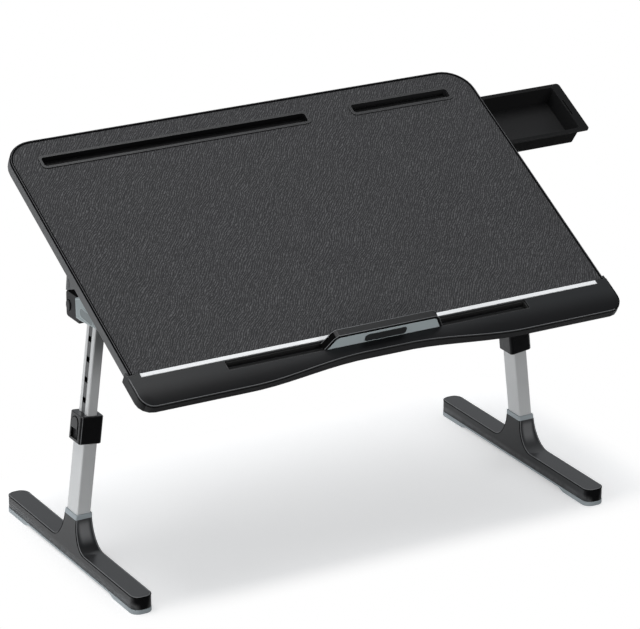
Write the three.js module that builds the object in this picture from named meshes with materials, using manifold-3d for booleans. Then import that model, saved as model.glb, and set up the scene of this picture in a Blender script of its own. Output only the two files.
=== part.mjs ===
// A laptop stand: a tilting desk top with a side drawer, on two folding legs of adjustable height.
// Millimetres, +Z up, +Y from the user towards the back edge. The desk top is drawn flat in its own
// group (x, v from the front edge, n up from the leather) and the group tilts it as in use.
import * as THREE from "three";
import { mergeVertices } from "three/addons/utils/BufferGeometryUtils.js";
import Module from "manifold-3d";

const wasm = await Module();
wasm.setup();
const { Manifold, Mesh } = wasm;
const deg = THREE.MathUtils.degToRad;

// Sizes shared by many pieces.
const fitGap = 0.3; // between two pieces that are fixed to each other
const slideGap = 0.45; // between two pieces that slide or turn
const overrun = 2; // how far a cutting tool passes a face
const weldSize = 0.001; // vertices closer than this are one
const arcSteps = 4; // facets in a rounded corner
const pinSteps = 16; // facets round a pin

// Desk top.
const deckWidth = 650;
const deckDepth = 428;
const deckTilt = deg(27.9);
const deckCorner = 38;
const leatherThick = 1.6;
const coreThick = 10;
const bandWall = 3;
const bandDrop = 14; // bottom of the side band, below the leather
const bandTop = 1.1; // top of the side band, below the leather
const bandChamfer = 0.8;
const bandHook = 1.7; // inward hook at the band's foot
const bandHookThick = 1.6;
const lipWidth = 3.4;
const lipRise = 0.9;

// Wrist rest.
const restOverhang = 3.5; // past each end of the board
const restWidth = deckWidth + 2 * restOverhang;
const restBack = 48.4;
const restDrop = 16;
const restEdgeDrop = 3.5; // how far the top rolls down at its ends' front edge
const restRoll = 25; // width of that roll, from the straight part of the front
const restCorner = 17.5;
const restChamfer = 2;
const restHornBack = 54; // its ends reach back outside the side band
const restFlange = 20; // runs on under the board
const waveDepth = 12.8; // the front edge curves in at the middle
const waveInner = 30;
const waveOuter = 185;
const stripEndGap = 16.5;
const stripLength = restWidth - 2 * stripEndGap;
const stripWidth = 5.5;
const stripInset = 0.4; // board edge to strip
const stripThick = 2.2;
const stripRise = 0.25;
const grooveEndGap = 122.5;
const grooveLength = restWidth - 2 * grooveEndGap;
const grooveWidth = 13.8;
const grooveFront = 27.4;
const grooveDepth = 10.4;
const grooveCorner = 2;
const trackWall = 1.3;
const trackSink = 2.2; // the track's rim, below the leather

// Slots for a tablet and a phone.
const slotWidth = 21.2;
const slotBackGap = 27.8; // slots to the back edge
const slotFront = deckDepth - slotBackGap - slotWidth;
const slotFlange = 3.5;
const slotRimCorner = 6;
const slotCorner = 3.5; // of the trough
const slotWall = 1.4;
const slotDrop = 9.4; // outside depth below the leather
const slotRise = 1.1;
const slotSideGap = 37; // slots to the side edges
const slotsApart = 59.5;
const phoneSlotLength = 147.5;
const phoneSlotTo = deckWidth / 2 - slotSideGap;
const phoneSlotFrom = phoneSlotTo - phoneSlotLength;
const tabletSlotFrom = slotSideGap - deckWidth / 2;
const tabletSlotTo = phoneSlotFrom - slotsApart;

// Laptop stopper.
const stopperPlace = 1.5; // its middle in the photograph, right of the board's
const stopperFoot = 80.8; // half length at the base
const stopperCrown = 68.7; // half length at the top
const stopperHeight = 20;
const stopperThick = 10.2;
const stopperCorner = 2.5;
const tenonThick = 8.4;
const tenonDrop = 8;
const tenonHalf = 68;
const stopperFaceInset = 3;
const stopperFaceThick = 1.4;
const stopperPadHalf = 28;
const stopperPadHeight = 11;
const stopperPadThick = 1.2;

// Drawer, as it stands pulled out.
const drawerPulledOut = 130.5; // past the side edge
const drawerOuterEnd = deckWidth / 2 + drawerPulledOut;
const drawerLength = 200;
const drawerWidth = 86;
const drawerBackGap = 40.5; // drawer to the back edge
const drawerFront = deckDepth - drawerBackGap - drawerWidth;
const drawerTop = 15; // rim, below the leather
const drawerRimThick = 2.4;
const drawerRim = 5.2;
const drawerPull = 12.5; // width of the end flange
const drawerPullLip = 3;
const drawerPullDrop = 5;
const drawerDepth = 26;
const drawerWall = 1.6;
const drawerTaper = 2;
const drawerCorner = 4.5;
const drawerInnerCorner = 3;
const fingerLength = 27;
const fingerWidth = 2.6;
const fingerDepth = 1;
const railLength = 200;
const railWall = 2;
const railLip = 6;
const railEndGap = 2; // outer end of a rail to the side band
const stopThick = 4;
const stopDrop = 22;

// Hinge under each side of the desk, measured for the right leg.
const hingeShare = 0.48131; // of the depth, from the front edge to both hinge axes
const hingeSetback = deckDepth * hingeShare;
const tiltAxisDrop = 47;
const tiltAxisHeight = 329; // above the floor
const legInset = 42.25; // side edge to leg tube at the tilt axis
const legSpacing = deckWidth - 2 * legInset;
const legSplay = deg(6.78);
const foldAxisInset = 63; // from the side edge
const foldAxisX = deckWidth / 2 - foldAxisInset;
const foldAxisDrop = 21.5;
const foldBarrel = 5.8;
const foldBarrelHalf = 15.5;
const foldPinRadius = 2.5;
const foldPinHalf = 22.5;
const earThick = 5;
const earReach = 6;
const plateThick = 2.8;
const plateWidth = 56;
const plateInset = 19; // from the side edge
const plateOuter = deckWidth / 2 - plateInset;
const plateInner = plateOuter - plateWidth;
const plateAhead = 70; // of the hinge axes
const plateBehind = 30;
const plateFront = hingeSetback - plateAhead;
const plateBack = hingeSetback + plateBehind;
const plateCorner = 5;
const lugThick = 6;
const leverPivotAhead = 58; // of the hinge axes
const leverPivotV = hingeSetback - leverPivotAhead;
const leverPivotDrop = 22;
const leverPinRadius = 2;
const lugRadius = 6;
const leverSkin = 2.6;
const leverBodyGap = 0.8; // lever to bracket
const leverBodyInner = plateOuter + leverBodyGap;
const leverReach = 66; // forwards from the tilt axis
const leverRise = 30; // above it
// The lever's skin and the body behind it, seen from the side, as shares of its reach and rise.
const leverSkinShares = [
  [0.085, 0.557],
  [0.212, 0.9],
  [0.273, 1],
  [0.924, 1],
  [1, 0.867],
  [0.455, 0.067],
  [0.279, -0.14],
];
const leverBodyShares = [
  [0.379, 0.933],
  [0.909, 0.95],
  [0.985, 0.867],
  [0.515, 0.167],
  [0.379, 0],
];
const cheekThick = 2.5;
const cheekBack = 26.2; // these are from the hinge axes
const cheekFront = 5;
const cheekNose = 1.7;
const cheekNoseDrop = 19.5; // and these below the leather
const cheekToe = 16.4;
const cheekToeDrop = 39.5;
const cheekFoot = 3;
const cheekFootThick = 2;
const tongueThick = 9;
const tongueOuter = plateOuter;
const tongueInner = tongueOuter - tongueThick;
const tongueRadius = 9.5;
const armTop = 16.2;
const armBottom = 26.4;
const tiltPinRadius = 3;
const blockInset = 8.2; // from the side edge
const blockWidth = 47.3;
const blockOuter = deckWidth / 2 - blockInset;
const blockInner = blockOuter - blockWidth;
const blockFront = -18.4;
const blockBack = 18;
const blockTop = 13;
const blockBottom = -20.5;
const blockCorner = 5;
const blockBevel = 1;
const foldButtonY = 10.8;
const foldButtonZ = -5;
const foldButtonWidth = 10;
const foldButtonHeight = 13.2;
const foldButtonThick = 6.2;
const foldButtonRise = 1.5;
const foldButtonTravel = 2;

// Legs; heights are measured down the leg from the tilt axis.
const innerWide = 13.4;
const innerDeep = 23.6;
const tubeWall = 1.5;
const tubeCorner = 2;
const innerTop = -6;
const innerBottom = 180;
const channelWidth = 8.8;
const channelDepth = 1.2;
const rackThick = 0.9;
const rackTop = 20;
const rackBottom = 175;
const firstHole = 49.6;
const holePitch = 25.5;
const holeCount = 5;
const holeWide = 6.4;
const holeTall = 5.7;
const outerWide = 18.6;
const outerDeep = 27.4;
const outerTop = 150.6;
const tubeSeatHeight = 47; // the tube's foot end, above the floor
const outerBottom = (tiltAxisHeight - tubeSeatHeight) / Math.cos(legSplay);
const collarWide = 28.6;
const collarDeep = 30.4;
const collarCorner = 4;
const collarTop = 142.5;
const collarBottom = 177.5;
const collarSwell = 1.6; // its outer side stands further out
const collarBevel = 0.8;
const thumbWide = 16;
const thumbTop = 146;
const thumbBottom = 174;
const thumbDeep = 3.2;
const thumbButtonTall = 14.5;
const thumbButtonThick = 2.6;
const thumbRise = 0.9;

// Feet.
const footCentreHeight = 45; // where the leg's axis passes over the middle of the foot
const footSpacing = legSpacing + 2 * (tiltAxisHeight - footCentreHeight) * Math.tan(legSplay);
const footLength = 348;
const footWide = 27.7;
const footTop = 22;
const footCorner = 11;
const footBevel = 1.4;
const soleTop = 5.8;
const soleArch = 3.2;
const solePad = 54;
const soleRamp = 10;
const gussetTop = 58;
const gussetReach = 43; // half length where it meets the bar
const gussetSteps = 8;
const ferruleTop = 64.5;
const ferruleWide = 22.6;
const ferruleDeep = 31;
const ferruleTaper = 0.6;

// Places worked out from the sizes.
const boardFront = restBack + stripInset;
const insideBand = deckWidth / 2 - bandWall - bandHook - fitGap; // for what hangs under the board
const leverOuter = insideBand;
const hingeX = legSpacing / 2;

// Materials.
const paint = (color, roughness, metalness = 0) =>
  new THREE.MeshStandardMaterial({ color, roughness, metalness });
const board = () => paint(0x3a3532, 0.8);
const leather = () => paint(0x464648, 0.65);
const greyShell = () => paint(0x6c6e70, 0.5);
const blackShell = () => paint(0x1d1e20, 0.4);
const softBlack = () => paint(0x141414, 0.75);
const blueGrey = () => paint(0x9aa8ae, 0.5);
const white = () => paint(0xeceeee, 0.4);
const aluminium = () => paint(0xc4c7c8, 0.35, 0.8);
const steel = () => paint(0x9a9ca0, 0.3, 1);

// Solids from geometry, and back.
function solidOf(geometry) {
  const bare = new THREE.BufferGeometry();
  const flat = geometry.index ? geometry.toNonIndexed() : geometry;
  bare.setAttribute("position", flat.getAttribute("position"));
  const merged = mergeVertices(bare, weldSize);
  const triVerts = new Uint32Array(merged.index.array);
  const vertProperties = merged.attributes.position.array;
  return new Manifold(new Mesh({ numProp: 3, vertProperties, triVerts }));
}

function geometryOf(solid) {
  const mesh = solid.getMesh();
  const geometry = new THREE.BufferGeometry();
  geometry.setAttribute("position", new THREE.BufferAttribute(mesh.vertProperties, 3));
  geometry.setIndex(new THREE.BufferAttribute(mesh.triVerts, 1));
  return geometry;
}

const cut = (body, ...tools) =>
  geometryOf(tools.reduce((left, tool) => left.subtract(solidOf(tool)), solidOf(body)));
const join = (first, ...others) =>
  geometryOf(others.reduce((sum, other) => sum.add(solidOf(other)), solidOf(first)));

// Outlines.
const polygon = (points) => new THREE.Shape(points.map(([a, b]) => new THREE.Vector2(a, b)));

const rectangle = (a0, a1, b0, b1) =>
  polygon([
    [a0, b0],
    [a1, b0],
    [a1, b1],
    [a0, b1],
  ]);

function roundedRectangle(a0, a1, b0, b1, radius) {
  const shape = new THREE.Shape();
  const corners = [
    [a1 - radius, b0 + radius, -0.5],
    [a1 - radius, b1 - radius, 0],
    [a0 + radius, b1 - radius, 0.5],
    [a0 + radius, b0 + radius, 1],
  ];
  for (const [a, b, quarter] of corners) {
    const start = quarter * Math.PI;
    shape.absarc(a, b, radius, start, start + Math.PI / 2, false);
  }
  shape.closePath();
  return shape;
}

function circle(a, b, radius) {
  const points = [];
  for (let i = 0; i < pinSteps; i++) {
    const turn = ((i + 0.5) / pinSteps) * 2 * Math.PI;
    points.push([a + radius * Math.cos(turn), b + radius * Math.sin(turn)]);
  }
  return polygon(points);
}

// A slot shape with round ends, standing along b.
const stadium = (a, b, width, height) =>
  roundedRectangle(a - width / 2, a + width / 2, b - height / 2, b + height / 2, width / 2);

// Prisms.
function extrude(shape, from, to, bevel) {
  const options = { depth: to - from - 2 * bevel, curveSegments: arcSteps, bevelEnabled: bevel > 0 };
  Object.assign(options, { bevelThickness: bevel, bevelSize: bevel, bevelOffset: -bevel });
  options.bevelSegments = 1;
  return new THREE.ExtrudeGeometry(shape, options).translate(0, 0, from + bevel);
}

const toX = new THREE.Matrix4().set(0, 0, 1, 0, 1, 0, 0, 0, 0, 1, 0, 0, 0, 0, 0, 1);
const toY = new THREE.Matrix4().set(0, 1, 0, 0, 0, 0, 1, 0, 1, 0, 0, 0, 0, 0, 0, 1);
const prismZ = (shape, from, to, bevel = 0) => extrude(shape, from, to, bevel); // shape in x, y
const prismX = (shape, from, to, bevel = 0) => extrude(shape, from, to, bevel).applyMatrix4(toX); // y, z
const prismY = (shape, from, to, bevel = 0) => extrude(shape, from, to, bevel).applyMatrix4(toY); // z, x
const block = (x0, x1, y0, y1, z0, z1) => prismZ(rectangle(x0, x1, y0, y1), z0, z1);

// A skin over rings of equal length, closed by a flat cap at each end.
function loft(rings, capPlane) {
  const count = rings[0].length;
  const position = rings.flatMap((ring) => ring.flatMap((p) => [p.x, p.y, p.z]));
  const index = [];
  for (let r = 0; r + 1 < rings.length; r++) {
    for (let i = 0; i < count; i++) {
      const a = r * count + i;
      const b = r * count + ((i + 1) % count);
      index.push(a, b, b + count, a, b + count, a + count);
    }
  }
  const flat = (ring) => ring.map((p) => new THREE.Vector2(...capPlane.map((axis) => p[axis])));
  const area = THREE.ShapeUtils.area;
  const last = (rings.length - 1) * count;
  for (const [ring, base, along] of [[rings[0], 0, false], [rings[rings.length - 1], last, true]]) {
    const outline = flat(ring);
    for (const [a, b, c] of THREE.ShapeUtils.triangulateShape([...outline], [])) {
      const ringwise = area([outline[a], outline[b], outline[c]]) * area(outline) > 0;
      index.push(base + a, base + (ringwise === along ? b : c), base + (ringwise === along ? c : b));
    }
  }
  const geometry = new THREE.BufferGeometry();
  geometry.setAttribute("position", new THREE.Float32BufferAttribute(position, 3));
  geometry.setIndex(index);
  return solidOf(geometry).volume() < 0 ? flipped(geometry) : geometry;
}

function flipped(geometry) {
  const index = geometry.index.array;
  for (let i = 0; i < index.length; i += 3) [index[i], index[i + 1]] = [index[i + 1], index[i]];
  return geometry;
}

// The same piece for the other side of the desk.
function mirrored(geometry) {
  const twin = geometry.index ? geometry.clone() : mergeVertices(bareCopy(geometry), weldSize);
  return flipped(twin.scale(-1, 1, 1));
}

function bareCopy(geometry) {
  const bare = new THREE.BufferGeometry();
  return bare.setAttribute("position", geometry.getAttribute("position").clone());
}

// Groups: the desk holds the deck, and for each side a hinge, the leg on it, and a foot.
const desk = new THREE.Group();
desk.name = "laptop_stand_with_drawer";

const deck = new THREE.Group();
deck.name = "deck";
deck.rotation.x = deckTilt;
const setbackVector = new THREE.Vector3(0, hingeSetback, -tiltAxisDrop).applyEuler(deck.rotation);
deck.position.set(0, -setbackVector.y, tiltAxisHeight - setbackVector.z);
desk.add(deck);

const sides = [
  ["left", -1],
  ["right", 1],
];
const hinges = {};
const legs = {};
const feet = {};
for (const [side, sign] of sides) {
  hinges[side] = new THREE.Group();
  hinges[side].position.set((sign * legSpacing) / 2, 0, tiltAxisHeight);
  legs[side] = new THREE.Group();
  legs[side].rotation.y = -sign * legSplay;
  hinges[side].add(legs[side]);
  feet[side] = new THREE.Group();
  feet[side].position.set((sign * footSpacing) / 2, 0, 0);
  desk.add(hinges[side], feet[side]);
}

function add(parent, name, geometry, material) {
  const facets = geometry.index ? geometry.toNonIndexed() : geometry;
  facets.computeVertexNormals();
  const mesh = new THREE.Mesh(facets, material);
  mesh.name = name;
  parent.add(mesh);
}

// Drawn for the right side; the left one is its mirror image.
function addPair(parents, name, geometry, material) {
  add(parents.right, "right_" + name, geometry, material());
  add(parents.left, "left_" + name, mirrored(geometry), material());
}
const bothDecks = { left: deck, right: deck };

// Points along the deck's outline, left side, back and right side, each with its outward normal.
function rimPath(front) {
  const half = deckWidth / 2;
  const path = [{ x: -half, v: front, nx: -1, nv: 0 }];
  for (const [sign, from] of [[-1, 1], [1, 0.5]]) {
    for (let i = 0; i <= arcSteps * 2; i++) {
      const turn = Math.PI * (from - (0.5 * i) / (arcSteps * 2));
      const [nx, nv] = [Math.cos(turn), Math.sin(turn)];
      const x = sign * (half - deckCorner) + deckCorner * nx;
      path.push({ x, v: deckDepth - deckCorner + deckCorner * nv, nx, nv });
    }
  }
  path.push({ x: half, v: front, nx: 1, nv: 0 });
  return path;
}

// Sweeps a profile of [inset, height] points along the rim.
function rimSweep(profile, front) {
  const rings = rimPath(front).map(({ x, v, nx, nv }) =>
    profile.map(([inset, n]) => new THREE.Vector3(x - nx * inset, v - nv * inset, n)),
  );
  return loft(rings, ["x", "z"]);
}

function deckOutline(inset, front) {
  const path = rimPath(front).map(({ x, v, nx, nv }) => [x - nx * inset, v - nv * inset]);
  return polygon(path.reverse());
}

const slots = [
  ["tablet_slot", tabletSlotFrom, tabletSlotTo],
  ["phone_slot", phoneSlotFrom, phoneSlotTo],
];
const slotRim = (from, to, grow) =>
  roundedRectangle(
    from - grow,
    to + grow,
    slotFront - grow,
    slotFront + slotWidth + grow,
    slotRimCorner + grow,
  );
const slotTrough = (from, to, grow) =>
  roundedRectangle(
    from + slotFlange - grow,
    to - slotFlange + grow,
    slotFront + slotFlange - grow,
    slotFront + slotWidth - slotFlange + grow,
    slotCorner,
  );

function makeLeather() {
  const sheet = deckOutline(lipWidth + fitGap, boardFront);
  for (const [, from, to] of slots) {
    sheet.holes.push(new THREE.Path(slotRim(from, to, fitGap).getPoints(arcSteps)));
  }
  return prismZ(sheet, -leatherThick, 0);
}

function makeCore() {
  const top = -leatherThick - fitGap;
  const outline = deckOutline(bandWall + fitGap, boardFront);
  const pockets = slots.map(([, from, to]) =>
    prismZ(slotTrough(from, to, slotWall + fitGap), -slotDrop - fitGap, top + overrun),
  );
  return cut(prismZ(outline, top - coreThick, top), ...pockets);
}

function makeBand() {
  const hook = -bandDrop + bandHookThick;
  return rimSweep(
    [
      [0, -bandTop],
      [0, -bandDrop + bandChamfer],
      [bandChamfer, -bandDrop],
      [bandWall + bandHook, -bandDrop],
      [bandWall + bandHook, hook],
      [bandWall, hook],
      [bandWall, -bandTop],
    ],
    boardFront,
  );
}

function makeLip() {
  const base = -bandTop + fitGap;
  const crest = lipWidth / 4;
  return rimSweep(
    [
      [fitGap, base],
      [lipWidth, base],
      [lipWidth, lipRise - crest],
      [lipWidth - crest / 2, lipRise - crest / 4],
      [lipWidth / 2, lipRise],
      [crest, lipRise - crest / 4],
      [fitGap, lipRise - crest],
    ],
    boardFront,
  );
}

function smooth(t) {
  const s = Math.min(Math.max(t, 0), 1);
  return s * s * (3 - 2 * s);
}

const frontWave = (x) => waveDepth * smooth((waveOuter - Math.abs(x)) / (waveOuter - waveInner));

// Where the front edge lies at x: the wave, then the rounded corner at each end.
function restFront(x) {
  const past = Math.abs(x) - (restWidth / 2 - restCorner);
  if (past <= 0) return frontWave(x);
  return restCorner - Math.sqrt(Math.max(restCorner ** 2 - past ** 2, 0));
}

// The top rolls down towards the straight part of the front, so the face is tallest in the wave.
const restTopAt = (v) => -restEdgeDrop * Math.max(1 - v / restRoll, 0) ** 2;

const restRings = 16;
const restTopShares = [0, 0.3, 0.55, 0.72, 0.84, 0.93, 1];

function restStations() {
  const half = restWidth / 2;
  const straight = half - restCorner;
  const xs = [];
  for (let i = 0; i <= restRings * 2; i++) xs.push(straight * (i / restRings - 1));
  for (let i = 1; i <= arcSteps; i++) {
    const past = restCorner * Math.sin((i / arcSteps) * (Math.PI / 2));
    xs.push(straight + past);
    xs.unshift(-straight - past);
  }
  return xs;
}

// The rest's end runs on a little way back along the outside of the side band.
function restHorn(side) {
  const inner = deckWidth / 2 + fitGap;
  const outer = restWidth / 2;
  const section = rectangle(restBack - stripWidth, restHornBack, -restDrop, -bandTop);
  return prismX(section, Math.min(side * inner, side * outer), Math.max(side * inner, side * outer));
}

function makeWristRest() {
  const under = -(leatherThick + fitGap + coreThick + fitGap);
  const rings = restStations().map((x) => {
    const front = restFront(x);
    const seat = restBack - stripWidth;
    const ring = [
      [restBack + restFlange, -restDrop],
      [restBack + restFlange, under],
      [restBack, under],
      [restBack, restTopAt(restBack)],
    ];
    for (const share of restTopShares) {
      const v = seat + (front - seat) * share;
      ring.push([v, restTopAt(v)]);
    }
    ring.push([front, -restDrop + restChamfer], [front + restChamfer, -restDrop]);
    return ring.map(([v, n]) => new THREE.Vector3(x, v, n));
  });
  const body = loft(rings, ["y", "z"]);
  const groove = roundedRectangle(
    -grooveLength / 2,
    grooveLength / 2,
    grooveFront,
    grooveFront + grooveWidth,
    grooveCorner,
  );
  const stripSeat = block(
    -stripLength / 2 - fitGap,
    stripLength / 2 + fitGap,
    restBack - stripWidth - fitGap,
    restBack + overrun,
    stripRise - stripThick - fitGap,
    overrun,
  );
  const ends = [-1, 1].map((side) =>
    block(
      Math.min(side * insideBand, side * restWidth),
      Math.max(side * insideBand, side * restWidth),
      restBack,
      restBack + restFlange + overrun,
      -restDrop - overrun,
      overrun,
    ),
  );
  const trimmed = cut(body, prismZ(groove, -grooveDepth, overrun), stripSeat, ...ends);
  return join(trimmed, restHorn(-1), restHorn(1));
}

function makeTrack() {
  const half = grooveLength / 2 - fitGap;
  const front = grooveFront + fitGap;
  const back = grooveFront + grooveWidth - fitGap;
  const outside = roundedRectangle(-half, half, front, back, grooveCorner - fitGap);
  const inside = roundedRectangle(
    -half + trackWall,
    half - trackWall,
    front + trackWall,
    back - trackWall,
    grooveCorner - fitGap - trackWall,
  );
  const base = -grooveDepth + fitGap;
  return cut(prismZ(outside, base, -trackSink), prismZ(inside, base + trackWall, overrun));
}

function makeStrip() {
  const half = stripLength / 2;
  const shape = rectangle(-half, half, restBack - stripWidth, restBack);
  return prismZ(shape, stripRise - stripThick, stripRise);
}

add(deck, "core_board", makeCore(), board());
add(deck, "leather_top", makeLeather(), leather());
add(deck, "edge_band", makeBand(), greyShell());
add(deck, "edge_lip", makeLip(), softBlack());
add(deck, "wrist_rest", makeWristRest(), blackShell());
add(deck, "trim_strip", makeStrip(), white());
add(deck, "stopper_track", makeTrack(), softBlack());

// A liner with an open trough that a device's edge stands in, and a flange let into the leather.
function makeSlot(from, to) {
  const rim = slotRim(from, to, 0);
  const trough = prismZ(slotTrough(from, to, slotWall), -slotDrop, -leatherThick / 2);
  const hollow = prismZ(slotTrough(from, to, 0), -slotDrop + slotWall, slotRise + overrun);
  return cut(join(prismZ(rim, -leatherThick, slotRise), trough), hollow);
}
for (const [name, from, to] of slots) add(deck, name, makeSlot(from, to), softBlack());

// The laptop stopper stands in its track on a tenon.
const stopperFront = grooveFront + slideGap;
const stopperBack = stopperFront + stopperThick;
const stopperBase = -trackSink + slideGap;
const stopperSlope = (stopperFoot - stopperCrown) / (stopperHeight - stopperBase);

// The plate's outline seen from the front, drawn in by an inset and cut off at a height.
function stopperOutline(inset, low) {
  const sideAt = (n) => stopperFoot - inset - stopperSlope * (n - stopperBase);
  const top = stopperHeight - inset;
  const shoulder = top - stopperCorner;
  const crown = sideAt(top) - stopperCorner;
  const points = [
    [-sideAt(low), low],
    [sideAt(low), low],
    [sideAt(shoulder), shoulder],
    [crown, top],
    [-crown, top],
    [-sideAt(shoulder), shoulder],
  ];
  return polygon(points.map(([x, n]) => [n, x]).reverse());
}

function makeStopper() {
  const plate = prismY(stopperOutline(0, stopperBase), stopperFront, stopperBack);
  const tenon = block(
    -tenonHalf,
    tenonHalf,
    stopperBack - tenonThick,
    stopperBack,
    -tenonDrop,
    stopperBase + fitGap,
  );
  const facing = stopperOutline(stopperFaceInset - fitGap, stopperBase - overrun);
  const recess = prismY(facing, stopperFront - overrun, stopperFront + stopperFaceThick);
  return cut(join(plate, tenon), recess);
}

function makeStopperFace() {
  const front = stopperFront - fitGap;
  const outline = stopperOutline(stopperFaceInset, stopperBase + fitGap);
  return prismY(outline, front, front + stopperFaceThick);
}

function makeStopperPad() {
  const front = stopperFront - 2 * fitGap;
  const middle = (stopperHeight - stopperFaceInset + stopperBase) / 2;
  const low = middle - stopperPadHeight / 2;
  const shape = roundedRectangle(
    low,
    low + stopperPadHeight,
    -stopperPadHalf,
    stopperPadHalf,
    stopperPadHeight / 3,
  );
  return prismY(shape, front - stopperPadThick, front);
}
add(deck, "stopper_body", makeStopper().translate(stopperPlace, 0, 0), softBlack());
add(deck, "stopper_face", makeStopperFace().translate(stopperPlace, 0, 0), blueGrey());
add(deck, "stopper_pad", makeStopperPad().translate(stopperPlace, 0, 0), softBlack());

// A box between two heights whose walls lean in by a taper.
function taperedBox([x0, x1, v0, v1], high, low, taper, radius) {
  const ring = (n, inset) =>
    roundedRectangle(x0 + inset, x1 - inset, v0 + inset, v1 - inset, radius)
      .extractPoints(arcSteps / 2)
      .shape.map((p) => new THREE.Vector3(p.x, p.y, n));
  return loft([ring(low, taper), ring(high, 0)], ["x", "y"]);
}

function makeDrawer() {
  const [x0, x1] = [drawerOuterEnd - drawerLength, drawerOuterEnd];
  const [v0, v1] = [drawerFront, drawerFront + drawerWidth];
  const rimLow = -drawerTop - drawerRimThick;
  const floor = -drawerTop - drawerDepth;
  const rim = prismZ(roundedRectangle(x0, x1, v0, v1, drawerCorner), rimLow, -drawerTop);
  const mouth = [x0 + drawerRim, x1 - drawerPull, v0 + drawerRim, v1 - drawerRim];
  const [a0, a1, b0, b1] = mouth;
  const outside = [a0 - drawerWall, a1 + drawerWall, b0 - drawerWall, b1 + drawerWall];
  const shell = taperedBox(
    outside,
    -drawerTop - drawerRimThick / 2,
    floor,
    drawerTaper,
    drawerInnerCorner + drawerWall,
  );
  const hollow = taperedBox(
    mouth,
    -drawerTop + overrun,
    floor + drawerWall,
    drawerTaper,
    drawerInnerCorner,
  );
  const pullLip = block(
    x1 - drawerPullLip,
    x1 - fitGap,
    v0 + drawerCorner,
    v1 - drawerCorner,
    -drawerTop - drawerPullDrop,
    rimLow + fitGap,
  );
  const middle = (v0 + v1) / 2;
  const finger = stadium(x1 - drawerPull + fingerWidth, middle, fingerWidth, fingerLength);
  const notch = prismZ(finger, -drawerTop - fingerDepth, -drawerTop + overrun);
  return cut(join(rim, shell, pullLip), hollow, notch);
}
add(deck, "drawer_tray", makeDrawer(), blackShell());

const railOuterEnd = insideBand - railEndGap;
const coreBottom = -leatherThick - fitGap - coreThick;

// An angle under the board whose lip carries the drawer's rim; side is -1 in front, 1 behind.
function makeRail(edge, side) {
  const top = coreBottom - fitGap;
  const web = edge + side * slideGap;
  const low = -drawerTop - drawerRimThick - slideGap;
  const outline = [
    [web + side * railWall, top],
    [web + side * (railWall + railLip), top],
    [web + side * (railWall + railLip), top - railWall],
    [web + side * railWall, top - railWall],
    [web + side * railWall, low - railWall],
    [web - side * (drawerRim - 2 * slideGap - drawerWall), low - railWall],
    [web - side * (drawerRim - 2 * slideGap - drawerWall), low],
    [web, low],
    [web, top],
  ];
  const shape = polygon(side > 0 ? outline.reverse() : outline);
  return prismX(shape, railOuterEnd - railLength, railOuterEnd);
}

function makeDrawerStop() {
  const end = railOuterEnd - railLength - fitGap;
  const top = coreBottom - fitGap;
  const wall = block(
    end - stopThick,
    end,
    drawerFront - railWall,
    drawerFront + drawerWidth + railWall,
    -stopDrop,
    top,
  );
  const foot = block(
    end - stopThick - railLip,
    end,
    drawerFront + railLip,
    drawerFront + drawerWidth - railLip,
    top - railWall,
    top,
  );
  return join(wall, foot);
}
add(deck, "drawer_rail_front", makeRail(drawerFront, -1), greyShell());
add(deck, "drawer_rail_back", makeRail(drawerFront + drawerWidth, 1), greyShell());
add(deck, "drawer_stop", makeDrawerStop(), greyShell());

// The bracket under the board: a plate, two ears for the fold pin and a lug for the lever's pin.
function makeBracket() {
  const top = coreBottom - fitGap;
  const plateLow = top - plateThick;
  const outline = roundedRectangle(plateInner, plateOuter, plateFront, plateBack, plateCorner);
  const plate = prismZ(outline, plateLow, top);
  const ears = [-1, 1].map((side) => {
    const near = hingeSetback + side * (foldBarrelHalf + slideGap);
    const ear = polygon([
      [-foldAxisDrop - earReach, foldAxisX - earReach / 2],
      [-foldAxisDrop - earReach, foldAxisX + earReach / 2],
      [-foldAxisDrop, foldAxisX + earReach],
      [top - fitGap, foldAxisX + 2 * earReach],
      [top - fitGap, foldAxisX - 2 * earReach],
      [-foldAxisDrop, foldAxisX - earReach],
    ]);
    return prismY(ear, Math.min(near, near + side * earThick), Math.max(near, near + side * earThick));
  });
  const lug = prismX(
    polygon([
      [leverPivotV - lugRadius, top - fitGap],
      [leverPivotV - lugRadius, -leverPivotDrop],
      [leverPivotV - lugRadius / 2, -leverPivotDrop - lugRadius],
      [leverPivotV + lugRadius / 2, -leverPivotDrop - lugRadius],
      [leverPivotV + lugRadius, -leverPivotDrop],
      [leverPivotV + lugRadius, top - fitGap],
    ]),
    plateOuter - lugThick,
    plateOuter,
  );
  const foldBore = prismY(
    circle(-foldAxisDrop, foldAxisX, foldPinRadius + fitGap),
    hingeSetback - foldPinHalf,
    hingeSetback + foldPinHalf,
  );
  const leverBore = prismX(
    circle(leverPivotV, -leverPivotDrop, leverPinRadius + fitGap),
    plateOuter - lugThick - overrun,
    plateOuter + overrun,
  );
  return cut(join(plate, ...ears, lug), foldBore, leverBore);
}

function makeFoldPin() {
  const half = foldPinHalf - fitGap;
  const shape = circle(-foldAxisDrop, foldAxisX, foldPinRadius);
  return prismY(shape, hingeSetback - half, hingeSetback + half);
}

function makeLeverPin() {
  const shape = circle(leverPivotV, -leverPivotDrop, leverPinRadius);
  return prismX(shape, plateOuter - lugThick, leverOuter - leverSkin / 2 - slideGap);
}

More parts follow.
